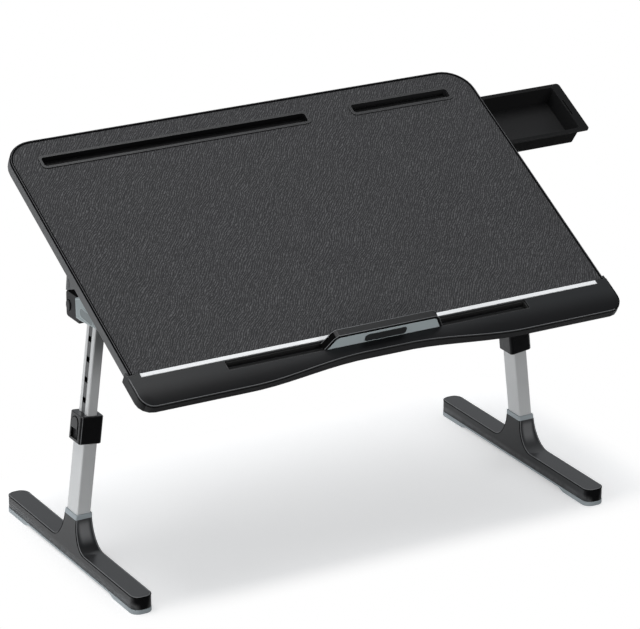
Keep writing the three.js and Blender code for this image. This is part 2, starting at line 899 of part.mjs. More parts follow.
// The triangular cheek that closes the hinge's side behind the lever.
function makeCheek() {
  const top = coreBottom - fitGap;
  const back = hingeSetback + cheekBack;
  const cheek = prismX(
    polygon([
      [back, top],
      [hingeSetback - cheekFront, top],
      [hingeSetback - cheekNose, -cheekNoseDrop],
      [hingeSetback + cheekToe, -cheekToeDrop],
    ]),
    leverOuter - cheekThick,
    leverOuter,
  );
  const footFront = hingeSetback + cheekFoot;
  const foot = block(plateOuter + fitGap, leverOuter - fitGap, footFront, back, top - cheekFootThick, top);
  return join(cheek, foot);
}
addPair(bothDecks, "hinge_bracket", makeBracket(), blackShell);
addPair(bothDecks, "fold_pin", makeFoldPin(), steel);
addPair(bothDecks, "side_cheek", makeCheek(), greyShell);
addPair(bothDecks, "lever_pin", makeLeverPin(), steel);

// Turns with the fold: a barrel on the fold pin, an arm, and a tongue down to the tilt pin.
function makeCradle() {
  const tongue = prismX(
    polygon([
      [hingeSetback - tongueRadius, -armTop],
      [hingeSetback - tongueRadius, -tiltAxisDrop],
      [hingeSetback + tongueRadius, -tiltAxisDrop],
      [hingeSetback + tongueRadius, -armTop],
    ]),
    tongueInner,
    tongueOuter,
  );
  const eye = prismX(circle(hingeSetback, -tiltAxisDrop, tongueRadius), tongueInner, tongueOuter);
  const arm = block(
    foldAxisX,
    tongueOuter,
    hingeSetback - foldBarrelHalf,
    hingeSetback + foldBarrelHalf,
    -armBottom,
    -armTop,
  );
  const span = [hingeSetback - foldBarrelHalf, hingeSetback + foldBarrelHalf];
  const barrel = prismY(circle(-foldAxisDrop, foldAxisX, foldBarrel), ...span);
  const foldBore = prismY(
    circle(-foldAxisDrop, foldAxisX, foldPinRadius + slideGap),
    span[0] - overrun,
    span[1] + overrun,
  );
  const tiltBore = prismX(
    circle(hingeSetback, -tiltAxisDrop, tiltPinRadius + slideGap),
    tongueInner - overrun,
    tongueOuter + overrun,
  );
  return cut(join(arm, tongue, eye, barrel), foldBore, tiltBore);
}
addPair(bothDecks, "fold_cradle", makeCradle(), blackShell);

const tubeOutline = (wide, deep, corner) =>
  roundedRectangle(-wide / 2, wide / 2, -deep / 2, deep / 2, corner);

// A straight piece along the leg, between two distances down from the tilt axis.
const alongLeg = (shape, top, bottom, bevel = 0) => prismZ(shape, -bottom, -top, bevel);
const splayed = (geometry) => geometry.rotateY(-legSplay);

const slotLow = -tongueRadius - slideGap;
const pinInner = innerWide / 2 + fitGap + tubeWall;
const pinOuter = blockOuter - hingeX - foldButtonThick - fitGap;

function makeBlock() {
  const outer = blockOuter - hingeX;
  const profile = roundedRectangle(blockFront, blockBack, blockBottom, blockTop, blockCorner);
  const body = prismX(profile, blockInner - hingeX, outer, blockBevel);
  const socket = splayed(
    alongLeg(
      tubeOutline(innerWide + 2 * fitGap, innerDeep + 2 * fitGap, tubeCorner),
      innerTop - fitGap,
      -2 * blockBottom,
    ),
  );
  const slot = block(
    tongueInner - hingeX - slideGap,
    tongueOuter - hingeX + slideGap,
    blockFront - overrun,
    blockBack + overrun,
    slotLow,
    blockTop + overrun,
  );
  const pinHole = prismX(circle(0, 0, tiltPinRadius + fitGap), pinInner, pinOuter + fitGap);
  const buttonHole = prismX(
    stadium(foldButtonY, foldButtonZ, foldButtonWidth + slideGap * 2, foldButtonHeight + slideGap * 2),
    outer - foldButtonThick,
    outer + overrun,
  );
  return cut(body, socket, slot, pinHole, buttonHole);
}

const makeTiltPin = () => prismX(circle(0, 0, tiltPinRadius), pinInner + fitGap, pinOuter);

function makeFoldButton() {
  const outer = blockOuter - hingeX;
  const shape = stadium(foldButtonY, foldButtonZ, foldButtonWidth, foldButtonHeight);
  const inner = outer - foldButtonThick + foldButtonTravel + fitGap;
  return prismX(shape, inner, outer + foldButtonRise, foldButtonRise / 2);
}

const leverShape = (shares) =>
  polygon(shares.map(([v, n]) => [hingeSetback - v * leverReach, -tiltAxisDrop + n * leverRise]));

function makeLever() {
  const skin = prismX(leverShape(leverSkinShares), leverOuter - leverSkin, leverOuter);
  const body = prismX(leverShape(leverBodyShares), leverBodyInner, leverOuter - leverSkin / 2);
  const bore = prismX(
    circle(leverPivotV, -leverPivotDrop, leverPinRadius + slideGap),
    leverBodyInner - overrun,
    leverOuter - leverSkin / 2,
  );
  return cut(join(skin, body), bore);
}
addPair(hinges, "head_block", makeBlock(), blackShell);
addPair(hinges, "tilt_pin", makeTiltPin(), steel);
addPair(hinges, "fold_button", makeFoldButton(), softBlack);
addPair(bothDecks, "tilt_lever", makeLever(), blueGrey);

// The telescopic tubes of a leg.
const holes = [];
for (let i = 0; i < holeCount; i++) holes.push(firstHole + i * holePitch);

function holeTools() {
  return holes.map((down) =>
    block(
      innerWide / 2 - channelDepth - tubeWall - fitGap,
      innerWide / 2 + overrun,
      -holeWide / 2,
      holeWide / 2,
      -down - holeTall / 2,
      -down + holeTall / 2,
    ),
  );
}

function makeInnerTube() {
  const outside = alongLeg(tubeOutline(innerWide, innerDeep, tubeCorner), innerTop, innerBottom);
  const bore = tubeOutline(innerWide - 2 * tubeWall, innerDeep - 2 * tubeWall, tubeCorner / 2);
  const hollow = alongLeg(bore, innerTop - overrun, innerBottom + overrun);
  const face = innerWide / 2;
  const half = channelWidth / 2;
  const bed = block(
    face - channelDepth - tubeWall,
    face - tubeWall / 2,
    -half - tubeWall,
    half + tubeWall,
    -innerBottom,
    -innerTop,
  );
  const channel = block(face - channelDepth, face + overrun, -half, half, -innerBottom - overrun, 0);
  return cut(join(cut(outside, hollow), bed), channel, ...holeTools());
}

function makeRack() {
  const half = channelWidth / 2 - fitGap;
  const base = innerWide / 2 - channelDepth + fitGap / 2;
  const strip = block(base, base + rackThick, -half, half, -rackBottom, -rackTop);
  return cut(strip, ...holeTools());
}

function makeOuterTube() {
  const outside = alongLeg(tubeOutline(outerWide, outerDeep, tubeCorner), outerTop, outerBottom);
  const bore = tubeOutline(outerWide - 2 * tubeWall, outerDeep - 2 * tubeWall, tubeCorner / 2);
  return cut(outside, alongLeg(bore, outerTop - overrun, outerBottom + overrun));
}

// A pocket with an arched top for the thumb, or the button in its upper half.
function thumbArch(top, bottom, width) {
  const radius = width / 2;
  const shape = new THREE.Shape();
  shape.moveTo(-radius, -bottom).lineTo(radius, -bottom).lineTo(radius, -top - radius);
  shape.absarc(0, -top - radius, radius, 0, Math.PI, false);
  shape.closePath();
  return shape;
}

function makeCollar() {
  const face = collarWide / 2 + collarSwell;
  const outline = roundedRectangle(-collarWide / 2, face, -collarDeep / 2, collarDeep / 2, collarCorner);
  const body = alongLeg(outline, collarTop, collarBottom, collarBevel);
  const passage = tubeOutline(innerWide + 2 * slideGap, innerDeep + 2 * slideGap, tubeCorner);
  const socket = tubeOutline(outerWide + 2 * fitGap, outerDeep + 2 * fitGap, tubeCorner);
  const pocket = thumbArch(thumbTop, thumbBottom, thumbWide);
  return cut(
    body,
    alongLeg(passage, collarTop - overrun, collarBottom + overrun),
    alongLeg(socket, outerTop - fitGap, collarBottom + overrun),
    prismX(pocket, face - thumbDeep, face + overrun),
  );
}

function makeThumbButton() {
  const face = collarWide / 2 + collarSwell;
  const top = thumbTop + slideGap;
  const shape = thumbArch(top, top + thumbButtonTall, thumbWide - 2 * slideGap);
  return prismX(shape, face + thumbRise - thumbButtonThick, face + thumbRise);
}
addPair(legs, "inner_tube", makeInnerTube(), aluminium);
addPair(legs, "height_rack", makeRack(), softBlack);
addPair(legs, "outer_tube", makeOuterTube(), aluminium);
addPair(legs, "height_collar", makeCollar(), blackShell);
addPair(legs, "height_button", makeThumbButton(), blackShell);

// Where the leg's axis passes a height, in the foot's own group.
const axisAt = (z) => hingeX + (tiltAxisHeight - z) * Math.tan(legSplay) - footSpacing / 2;

// The gusset leans from the middle of the bar to the leg's axis at its top.
const gussetLean = (z) => axisAt(gussetTop) * Math.min((z - footTop) / (gussetTop - footTop), 1);

function ringAt(z, wide, deep, corner) {
  const x = z > gussetTop ? axisAt(z) : gussetLean(Math.max(z, footTop));
  return roundedRectangle(x - wide / 2, x + wide / 2, -deep / 2, deep / 2, corner)
    .extractPoints(arcSteps / 2)
    .shape.map((p) => new THREE.Vector3(p.x, p.y, z));
}

// The outer tube's seat, grown by a gap, in the foot's own group.
function tubeSeat() {
  const shape = tubeOutline(outerWide + 2 * fitGap, outerDeep + 2 * fitGap, tubeCorner);
  const seat = splayed(alongLeg(shape, outerTop, outerBottom + fitGap));
  return seat.translate(hingeX - footSpacing / 2, 0, tiltAxisHeight);
}

const footOutline = () =>
  roundedRectangle(-footWide / 2, footWide / 2, -footLength / 2, footLength / 2, footCorner);

function makeFoot() {
  const bar = prismZ(footOutline(), soleTop + fitGap, footTop, footBevel);
  const rings = [];
  for (let i = 0; i <= gussetSteps; i++) {
    const turn = (i / gussetSteps) * (Math.PI / 2);
    const base = footTop - footBevel;
    const rise = (gussetTop - base) * (1 - Math.cos(turn));
    const spread = (gussetReach - ferruleDeep / 2) * (1 - Math.sin(turn));
    const share = rise / (gussetTop - base);
    const wide = footWide - 2 * footBevel + (ferruleWide + footBevel - footWide) * share;
    rings.push(ringAt(base + rise, wide, ferruleDeep + 2 * spread, tubeCorner));
  }
  return cut(join(bar, loft(rings, ["x", "y"])), tubeSeat());
}

function makeFerrule() {
  const low = gussetTop + fitGap;
  const rings = [
    ringAt(low, ferruleWide, ferruleDeep, tubeCorner),
    ringAt(ferruleTop - ferruleTaper, ferruleWide - ferruleTaper, ferruleDeep - ferruleTaper, tubeCorner),
    ringAt(ferruleTop, ferruleWide - 3 * ferruleTaper, ferruleDeep - 3 * ferruleTaper, tubeCorner),
  ];
  return cut(loft(rings, ["x", "y"]), tubeSeat());
}

function makeSole() {
  const half = footLength / 2 - solePad;
  const arch = prismX(
    polygon([
      [-half, -overrun],
      [half, -overrun],
      [half, 0],
      [half - soleRamp, soleArch],
      [-half + soleRamp, soleArch],
      [-half, 0],
    ]),
    -footWide,
    footWide,
  );
  return cut(prismZ(footOutline(), 0, soleTop), arch);
}
addPair(feet, "foot_bar", makeFoot(), blackShell);
addPair(feet, "base_ferrule", makeFerrule(), blueGrey);
addPair(feet, "foot_sole", makeSole(), blueGrey);

// Stand the part on the floor, centred.
desk.updateMatrixWorld(true);
const bounds = new THREE.Box3().setFromObject(desk, true);
const centre = bounds.getCenter(new THREE.Vector3());
desk.position.set(-centre.x, -centre.y, -bounds.min.z);

export default desk;
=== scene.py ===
import math

import bmesh
import bpy
from mathutils import Matrix, Vector


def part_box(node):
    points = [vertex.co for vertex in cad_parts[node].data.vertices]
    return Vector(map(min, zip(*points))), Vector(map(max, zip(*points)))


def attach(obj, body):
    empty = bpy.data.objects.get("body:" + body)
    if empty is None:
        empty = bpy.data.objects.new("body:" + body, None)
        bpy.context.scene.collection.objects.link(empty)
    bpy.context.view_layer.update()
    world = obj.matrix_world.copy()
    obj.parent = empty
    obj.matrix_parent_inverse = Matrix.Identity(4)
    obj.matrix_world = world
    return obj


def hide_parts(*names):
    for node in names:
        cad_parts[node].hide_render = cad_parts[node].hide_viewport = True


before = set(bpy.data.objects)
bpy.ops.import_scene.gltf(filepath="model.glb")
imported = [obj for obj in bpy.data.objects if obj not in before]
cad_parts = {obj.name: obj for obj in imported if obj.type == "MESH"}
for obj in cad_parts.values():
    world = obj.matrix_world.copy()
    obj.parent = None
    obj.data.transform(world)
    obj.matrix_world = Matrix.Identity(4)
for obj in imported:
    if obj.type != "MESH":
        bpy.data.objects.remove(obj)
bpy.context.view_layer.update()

# Studio. A pale floor in a white room, with a broad soft light from the left, one from above and a weak
# one from the front, so that faces turned to the front stay dark. The camera stands high at the front
# left with a long lens.
scene = bpy.context.scene
scene.view_settings.view_transform = "Standard"

desk_middle = Vector((
    (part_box("left_outer_tube")[0][0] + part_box("right_outer_tube")[1][0]) / 2,
    (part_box("left_foot_bar")[0][1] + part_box("left_foot_bar")[1][1]) / 2,
    0,
))
camera_place = desk_middle + Vector((-2.03533, -3.55363, 1.8364))
camera_yaw, camera_pitch, camera_roll = (math.radians(a) for a in (30.02, -21.1, 0.34))
camera_lens, film_width = 202.367, 36.0

plain_white, pale_blue, floor_paint = (1, 1, 1, 1), (0.93, 0.96, 1, 1), (0.86, 0.86, 0.86, 1)
floor_size, floor_lift = 14, 0.42
shadow_middle, shadow_half, shadow_fade = (-0.018, 0.035, 0), (0.345, 0.17, 0), 0.07
dark_until, bright_from, dark_share, bright_share = -0.175, -0.135, 0.03, 0.72


def make_camera():
    forward = Vector((
        math.sin(camera_yaw) * math.cos(camera_pitch),
        math.cos(camera_yaw) * math.cos(camera_pitch),
        math.sin(camera_pitch),
    ))
    level = Vector((math.cos(camera_yaw), -math.sin(camera_yaw), 0))
    upright = level.cross(forward)
    right = level * math.cos(camera_roll) + upright * math.sin(camera_roll)
    up = upright * math.cos(camera_roll) - level * math.sin(camera_roll)
    lens = bpy.data.cameras.new("camera")
    lens.lens, lens.sensor_width = camera_lens, film_width
    lens.clip_start, lens.clip_end = 0.05, 60
    camera = bpy.data.objects.new("camera", lens)
    turn = Matrix((right, up, -forward)).transposed().to_4x4()
    camera.matrix_world = Matrix.Translation(camera_place) @ turn
    scene.collection.objects.link(camera)
    scene.camera = camera


def add_node(tree, kind, settings=None, **inputs):
    """A node with its settings, and with its inputs by name or, as at0 and so on, by number."""
    node = tree.nodes.new(kind)
    for key, value in (settings or {}).items():
        setattr(node, key, value)
    for key, value in inputs.items():
        socket = node.inputs[int(key[2:]) if key.startswith("at") else key.replace("_", " ")]
        if isinstance(value, bpy.types.NodeSocket):
            tree.links.new(value, socket)
        else:
            socket.default_value = value
    return node


def math_step(tree, operation, *values):
    """One step of arithmetic on numbers."""
    inputs = {f"at{place}": value for place, value in enumerate(values)}
    return add_node(tree, "ShaderNodeMath", {"operation": operation}, **inputs).outputs[0]


def vector_step(tree, operation, *values):
    """One step of arithmetic on vectors. A length or a dot product comes out as a number."""
    inputs = {f"at{place}": value for place, value in enumerate(values)}
    node = add_node(tree, "ShaderNodeVectorMath", {"operation": operation}, **inputs)
    return node.outputs["Value" if operation in ("LENGTH", "DOT_PRODUCT") else "Vector"]


def new_material(name):
    material = bpy.data.materials.new(name)
    material.use_nodes = True
    tree = material.node_tree
    tree.nodes.clear()
    output = add_node(tree, "ShaderNodeOutputMaterial")
    return material, tree, output


def add_panel(name, place, aim, size, watts, mirrored=True):
    """A rectangular lamp; one that isn't mirrored leaves no bright patch on glossy pieces."""
    light = bpy.data.lights.new(name, "AREA")
    light.shape, light.size, light.size_y, light.energy = "RECTANGLE", size[0], size[1], watts
    lamp = bpy.data.objects.new(name, light)
    lamp.location = place
    lamp.rotation_mode = "QUATERNION"
    lamp.rotation_quaternion = (Vector(place) - Vector(aim)).to_track_quat("Z", "Y")
    lamp.visible_glossy = mirrored
    scene.collection.objects.link(lamp)


def make_room():
    """White to the camera; to everything else dim in front, brighter above and behind."""
    world = bpy.data.worlds.new("white_room")
    world.use_nodes = True
    tree = world.node_tree
    tree.nodes.clear()
    direction = add_node(tree, "ShaderNodeTexCoord").outputs["Generated"]
    way = add_node(tree, "ShaderNodeSeparateXYZ", Vector=direction)
    above = add_node(tree, "ShaderNodeMapRange", Value=way.outputs["Z"], From_Min=-0.1, From_Max=0.6,
                     To_Min=0.16, To_Max=0.52)
    behind = add_node(tree, "ShaderNodeMapRange", Value=way.outputs["Y"], From_Min=-0.9, From_Max=0.3,
                      To_Min=0.3, To_Max=1.0)
    strength = math_step(tree, "MULTIPLY", above.outputs[0], behind.outputs[0])
    rays = add_node(tree, "ShaderNodeLightPath")
    seen = math_step(tree, "MAXIMUM", rays.outputs["Is Camera Ray"], rays.outputs["Is Transmission Ray"])
    fill = add_node(tree, "ShaderNodeBackground", Color=pale_blue, Strength=strength)
    white = add_node(tree, "ShaderNodeBackground", Color=plain_white, Strength=1.0)
    mix = add_node(tree, "ShaderNodeMixShader", at0=seen, at1=fill.outputs[0], at2=white.outputs[0])
    add_node(tree, "ShaderNodeOutputWorld", Surface=mix.outputs[0])
    scene.world = world


def make_floor():
    """White to the camera, with the desk's shadow, and clear from below. It throws less light back on the
    desk than it shows, and least of all in front of the feet."""
    bpy.ops.mesh.primitive_plane_add(size=floor_size)
    floor = bpy.context.object
    floor.name = "floor"
    material, tree, output = new_material("pale_floor")
    place = add_node(tree, "ShaderNodeTexCoord").outputs["Object"]
    either_way = vector_step(tree, "ABSOLUTE", vector_step(tree, "SUBTRACT", place, shadow_middle))
    past_desk = vector_step(tree, "SUBTRACT", either_way, shadow_half)
    reach = vector_step(tree, "LENGTH", vector_step(tree, "MAXIMUM", past_desk, (0, 0, 0)))
    fade = add_node(tree, "ShaderNodeMapRange", {"interpolation_type": "SMOOTHSTEP"}, Value=reach,
                    From_Min=0.0, From_Max=shadow_fade)
    along = add_node(tree, "ShaderNodeSeparateXYZ", Vector=place)
    back = add_node(tree, "ShaderNodeMapRange", Value=along.outputs["Y"], From_Min=dark_until,
                    From_Max=bright_from, To_Min=dark_share, To_Max=bright_share)
    dull = add_node(tree, "ShaderNodeBsdfDiffuse", Color=back.outputs[0])
    paint = add_node(tree, "ShaderNodeBsdfDiffuse", Color=floor_paint)
    lift = add_node(tree, "ShaderNodeEmission", Color=plain_white, Strength=floor_lift)
    lifted = add_node(tree, "ShaderNodeAddShader", at0=paint.outputs[0], at1=lift.outputs[0])
    white = add_node(tree, "ShaderNodeEmission", Color=plain_white, Strength=1.0)
    shown = add_node(tree, "ShaderNodeMixShader", at0=fade.outputs[0], at1=lifted.outputs[0],
                     at2=white.outputs[0])
    rays = add_node(tree, "ShaderNodeLightPath")
    mix = add_node(tree, "ShaderNodeMixShader", at0=rays.outputs["Is Camera Ray"], at1=dull.outputs[0],
                   at2=shown.outputs[0])
    below = add_node(tree, "ShaderNodeNewGeometry").outputs["Backfacing"]
    clear = add_node(tree, "ShaderNodeBsdfTransparent")
    one_sided = add_node(tree, "ShaderNodeMixShader", at0=below, at1=mix.outputs[0], at2=clear.outputs[0])
    tree.links.new(one_sided.outputs[0], output.inputs["Surface"])
    floor.data.materials.append(material)


make_camera()
make_room()
make_floor()
add_panel("side_light", place=(-8.0, -0.17, 0.89), aim=(0, 0, 0.25), size=(5.57, 2.26), watts=350,
          mirrored=False)
add_panel("top_light", place=(-0.35, 0.25, 3.2), aim=(0, 0, 0.2), size=(2.4, 2.4), watts=52)
add_panel("front_fill", place=(0.6, -3.1, 0.4), aim=(0, 0, 0.2), size=(2.0, 0.8), watts=34, mirrored=False)

# Board. A sheet of dark laminated fibreboard, tilted, that everything else is screwed or clipped to.
# Places on it are millimetres on the flat board: x to the right, v from its front edge, n up from the
# leather.
deck_tilt = math.radians(27.9)
deck_front = desk_middle + Vector((0, -0.204049, 0.274143))
deck_place = Matrix.Translation(deck_front) @ Matrix.Rotation(deck_tilt, 4, "X") @ Matrix.Scale(0.001, 4)
merge_gap, flat_angle = 1e-6, math.radians(0.4)
cloud_size, cloud_dark, cloud_light, rough_spread = 12.0, 0.88, 1.12, 0.06


def new_group(name, kind, inputs, outputs):
    """A node group whose named inputs and outputs are (name, type) pairs, with the sockets inside it."""
    group = bpy.data.node_groups.new(name, kind)
    for label, socket in inputs:
        group.interface.new_socket(label, in_out="INPUT", socket_type="NodeSocket" + socket)
    for label, socket in outputs:
        group.interface.new_socket(label, in_out="OUTPUT", socket_type="NodeSocket" + socket)
    return group, add_node(group, "NodeGroupInput").outputs, add_node(group, "NodeGroupOutput").inputs


def grain_group():
    """Fine uneven surface of a moulded or painted piece: a grain and broad clouds, each from 0 to 1."""
    group, entry, leave = new_group(
        "surface_grain", "ShaderNodeTree",
        [("Vector", "Vector"), ("Grain Size", "Float"), ("Cloud Size", "Float")],
        [("Grain", "Float"), ("Cloud", "Float")])
    grain = add_node(group, "ShaderNodeTexNoise", Vector=entry["Vector"], Scale=entry["Grain Size"],
                     Detail=3.0, Roughness=0.6)
    cloud = add_node(group, "ShaderNodeTexNoise", Vector=entry["Vector"], Scale=entry["Cloud Size"],
                     Detail=4.0, Roughness=0.55)
    group.links.new(grain.outputs[0], leave["Grain"])
    group.links.new(cloud.outputs[0], leave["Cloud"])
    return group


def wear_and_highlight_group():
    """A mask that is one along the rounded edges of a piece, broken up a little by noise. The colour it
    lightens there is wear and a painted highlight together.
    """
    group, entry, leave = new_group(
        "edge_wear_and_highlight", "ShaderNodeTree", [("Vector", "Vector"), ("Width", "Float")], [("Mask", "Float")])
    rounded = add_node(group, "ShaderNodeBevel", {"samples": 6}, Radius=entry["Width"])
    plain = add_node(group, "ShaderNodeNewGeometry")
    turn = vector_step(group, "DOT_PRODUCT", rounded.outputs[0], plain.outputs["True Normal"])
    edge = add_node(group, "ShaderNodeMapRange", Value=turn, From_Min=0.99, From_Max=0.8)
    noise = add_node(group, "ShaderNodeTexNoise", Vector=entry["Vector"], Scale=160.0, Detail=3.0)
    broken = add_node(group, "ShaderNodeMapRange", Value=noise.outputs[0], From_Min=0.3, From_Max=0.6,
                      To_Min=0.35)
    group.links.new(math_step(group, "MULTIPLY", edge.outputs[0], broken.outputs[0]), leave["Mask"])
    return group


grain_nodes, wear_and_highlight_nodes = grain_group(), wear_and_highlight_group()


def blend(tree, share, first, second):
    """A colour between two others."""
    mix = add_node(tree, "ShaderNodeMix", {"data_type": "RGBA"}, at0=share, at6=first, at7=second)
    return mix.outputs[2]


def moulded(name, colour, roughness, wear_and_highlight=0.5, grain=0.35, grain_size=900.0, gloss=0.5, edge=0.10,
            width=0.0009, coat=0.0):
    """Moulded plastic or paint: an even colour with slight clouds, fine grain, and edges lightened as wear
    and as a painted highlight.
    """
    material, tree, output = new_material(name)
    place = add_node(tree, "ShaderNodeTexCoord").outputs["Object"]
    surface = add_node(tree, "ShaderNodeGroup", {"node_tree": grain_nodes}, Vector=place,
                       Grain_Size=grain_size, Cloud_Size=cloud_size)
    worn_and_lit = add_node(tree, "ShaderNodeGroup", {"node_tree": wear_and_highlight_nodes}, Vector=place, Width=width)
    dark, light = (tuple(c * share for c in colour) + (1,) for share in (cloud_dark, cloud_light))
    pale = tuple(min(c * 1.5 + edge, 1) for c in colour) + (1,)
    base = blend(tree, surface.outputs["Cloud"], dark, light)
    # The edges turn pale: wear, and a painted highlight along them.
    tinted = blend(tree, math_step(tree, "MULTIPLY", worn_and_lit.outputs["Mask"], wear_and_highlight), base, pale)
    rough = add_node(tree, "ShaderNodeMapRange", Value=surface.outputs["Grain"], From_Min=0.3, From_Max=0.7,
                     To_Min=roughness - rough_spread, To_Max=roughness + rough_spread)
    bump = add_node(tree, "ShaderNodeBump", Height=surface.outputs["Grain"], Strength=grain, Distance=0.0001)
    shader = add_node(tree, "ShaderNodeBsdfPrincipled", Base_Color=tinted, Roughness=rough.outputs[0],
                      Normal=bump.outputs[0], Specular_IOR_Level=gloss, Coat_Weight=coat,
                      Coat_Roughness=0.2)
    tree.links.new(shader.outputs[0], output.inputs["Surface"])
    return material


def made_mesh(name, shell):
    mesh = bpy.data.meshes.new(name)
    shell.to_mesh(mesh)
    shell.free()
    return mesh


def blank(name, mesh):
    """An object that carries a mesh while its modifiers are worked out."""
    holder = bpy.data.objects.new(name + "_blank", mesh)
    scene.collection.objects.link(holder)
    return holder


def worked(holder, name):
    """The mesh that a blank's modifiers make. The blank is then removed."""
    bpy.context.view_layer.update()
    whole = holder.evaluated_get(bpy.context.evaluated_depsgraph_get())
    result = bpy.data.meshes.new_from_object(whole)
    bpy.data.objects.remove(holder)
    result.name = name
    return result


def settled(mesh, name, modifiers):
    """The mesh with these modifiers applied and flat faces kept flat under smooth shading."""
    holder = blank(name, mesh)
    mesh.shade_smooth()
    for kind, settings in modifiers + [("WEIGHTED_NORMAL", {"keep_sharp": True, "weight": 80})]:
        modifier = holder.modifiers.new(kind.lower(), kind)
        for key, value in settings.items():
            setattr(modifier, key, value)
    return worked(holder, name)


def fit_piece(name, mesh, material, body, slot, *replaced):
    mesh.materials.clear()
    mesh.materials.append(material)
    piece = bpy.data.objects.new(name, mesh)
    scene.collection.objects.link(piece)
    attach(piece, body)
    if replaced:
        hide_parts(*replaced)
    return piece


def softened(node, width, segments, angle):
    """A merged copy of a node of the frame with its edges rounded, as a moulded or sawn piece has them."""
    shell = bmesh.new()
    shell.from_mesh(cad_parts[node].data)
    bmesh.ops.remove_doubles(shell, verts=shell.verts, dist=merge_gap)
    bmesh.ops.dissolve_limit(shell, angle_limit=flat_angle, verts=shell.verts, edges=shell.edges)
    rounding = {"width": width, "segments": segments, "limit_method": "ANGLE",
                "angle_limit": math.radians(angle), "miter_outer": "MITER_ARC", "use_clamp_overlap": True}
    return settled(made_mesh(node, shell), node + "_finish", [("BEVEL", rounding)])


def dress(node, material, body, slot, width, segments=2, angle=28):
    """The finished piece of one node, its edges rounded by a width in metres."""
    return fit_piece(node + "_finish", softened(node, width, segments, angle), material, body, slot, node)


board_laminate = moulded("board_laminate", (0.032, 0.029, 0.027), 0.62, wear_and_highlight=0.2, grain=0.5, grain_size=400.0)
dress("core_board", board_laminate, "deck", "board", 0.0004)

# Leather top. Embossed artificial leather glued over the board, charcoal. Its fine wrinkles wander and
# run mostly towards the back right corner, with a painted highlight on each crest and painted shade in each
# crease.
crease_shade, crest_highlight = (0.0205, 0.0205, 0.022, 1), (0.083, 0.083, 0.086, 1)
wrinkle_lean, wrinkle_draw, wrinkle_drift = math.radians(40), (1.0, 0.36, 1.0), (0.012, 0.012, 0.0)


def leather_material():
    material, tree, output = new_material("charcoal_leather")
    place = add_node(tree, "ShaderNodeTexCoord").outputs["Object"]
    flat = add_node(tree, "ShaderNodeMapping", Vector=place, Rotation=(-deck_tilt, 0, 0))
    drift = add_node(tree, "ShaderNodeTexNoise", Vector=flat.outputs[0], Scale=22.0, Detail=1.0)
    pushed = vector_step(tree, "MULTIPLY_ADD", drift.outputs["Color"], wrinkle_drift, flat.outputs[0])
    turned = add_node(tree, "ShaderNodeMapping", Vector=pushed, Rotation=(0, 0, wrinkle_lean))
    drawn = add_node(tree, "ShaderNodeMapping", Vector=turned.outputs[0], Scale=wrinkle_draw)
    folds = add_node(tree, "ShaderNodeTexWave", Vector=drawn.outputs[0], Scale=120.0, Distortion=6.5,
                     Detail=2.0, Detail_Scale=2.4, Detail_Roughness=0.6)
    breaks = add_node(tree, "ShaderNodeTexNoise", Vector=flat.outputs[0], Scale=420.0, Detail=1.0)
    broken = add_node(tree, "ShaderNodeMapRange", Value=breaks.outputs[0], From_Min=0.38, From_Max=0.58,
                      To_Min=0.4)
    crests = math_step(tree, "MULTIPLY", folds.outputs["Fac"], broken.outputs[0])
    pores = add_node(tree, "ShaderNodeTexNoise", Vector=flat.outputs[0], Scale=900.0, Detail=2.0)
    height = math_step(tree, "MULTIPLY_ADD", pores.outputs[0], 0.25, crests)
    # The crests are painted light, as a painted highlight, and the creases dark, as painted shade.
    base = blend(tree, math_step(tree, "POWER", crests, 1.4), crease_shade, crest_highlight)
    rough = add_node(tree, "ShaderNodeMapRange", Value=crests, To_Min=0.75, To_Max=0.5)
    bump = add_node(tree, "ShaderNodeBump", Height=height, Strength=0.7, Distance=0.0006)
    shader = add_node(tree, "ShaderNodeBsdfPrincipled", Base_Color=base, Roughness=rough.outputs[0],
                      Normal=bump.outputs[0], Specular_IOR_Level=0.4)
    tree.links.new(shader.outputs[0], output.inputs["Surface"])
    return material


dress("leather_top", leather_material(), "deck", "leather", 0.0006, 3)

# Side band and bead. A grey satin band wraps the board's sides and back; a black rubber bead covers the
# joint between band and leather. A thin grey line along the bead's top is a painted highlight on its crest,
# and two black lines along the joints on either side of the bead are painted shade.
deck_half, deck_depth, deck_corner, band_start, corner_steps = 325.0, 428.0, 38.0, 49.2, 12
band_grey = moulded("satin_grey", (0.096, 0.098, 0.100), 0.42, wear_and_highlight=0.25)
bead_black = moulded("bead_rubber", (0.002, 0.002, 0.0025), 0.8, wear_and_highlight=0.0, grain=0.15, gloss=0.06)
# A grey for the painted highlight along the bead's crest; the track's ribs use it too.
line_grey = moulded("core_line", (0.075, 0.075, 0.077), 0.45, wear_and_highlight=0.0, grain=0.1)
dress("edge_band", band_grey, "deck", "grey_shell", 0.0005)
dress("edge_lip", bead_black, "deck", "soft_black", 0.0003, 1, 40)


def sweep_group():
    """A round bead along a path of edges."""
    group, entry, leave = new_group(
        "bead_along_path", "GeometryNodeTree",
        [("Path", "Geometry"), ("Radius", "Float"), ("Material", "Material")], [("Bead", "Geometry")])
    path = add_node(group, "GeometryNodeMeshToCurve", Mesh=entry["Path"])
    ring = add_node(group, "GeometryNodeCurvePrimitiveCircle", Resolution=8, Radius=entry["Radius"])
    tube = add_node(group, "GeometryNodeCurveToMesh", Curve=path.outputs[0], Profile_Curve=ring.outputs[0],
                    Fill_Caps=True)
    smooth = add_node(group, "GeometryNodeSetShadeSmooth", Geometry=tube.outputs[0])
    single = add_node(group, "GeometryNodeRealizeInstances", Geometry=smooth.outputs[0])
    painted = add_node(group, "GeometryNodeSetMaterial", Geometry=single.outputs[0],
                       Material=entry["Material"])
    group.links.new(painted.outputs[0], leave["Bead"])
    return group


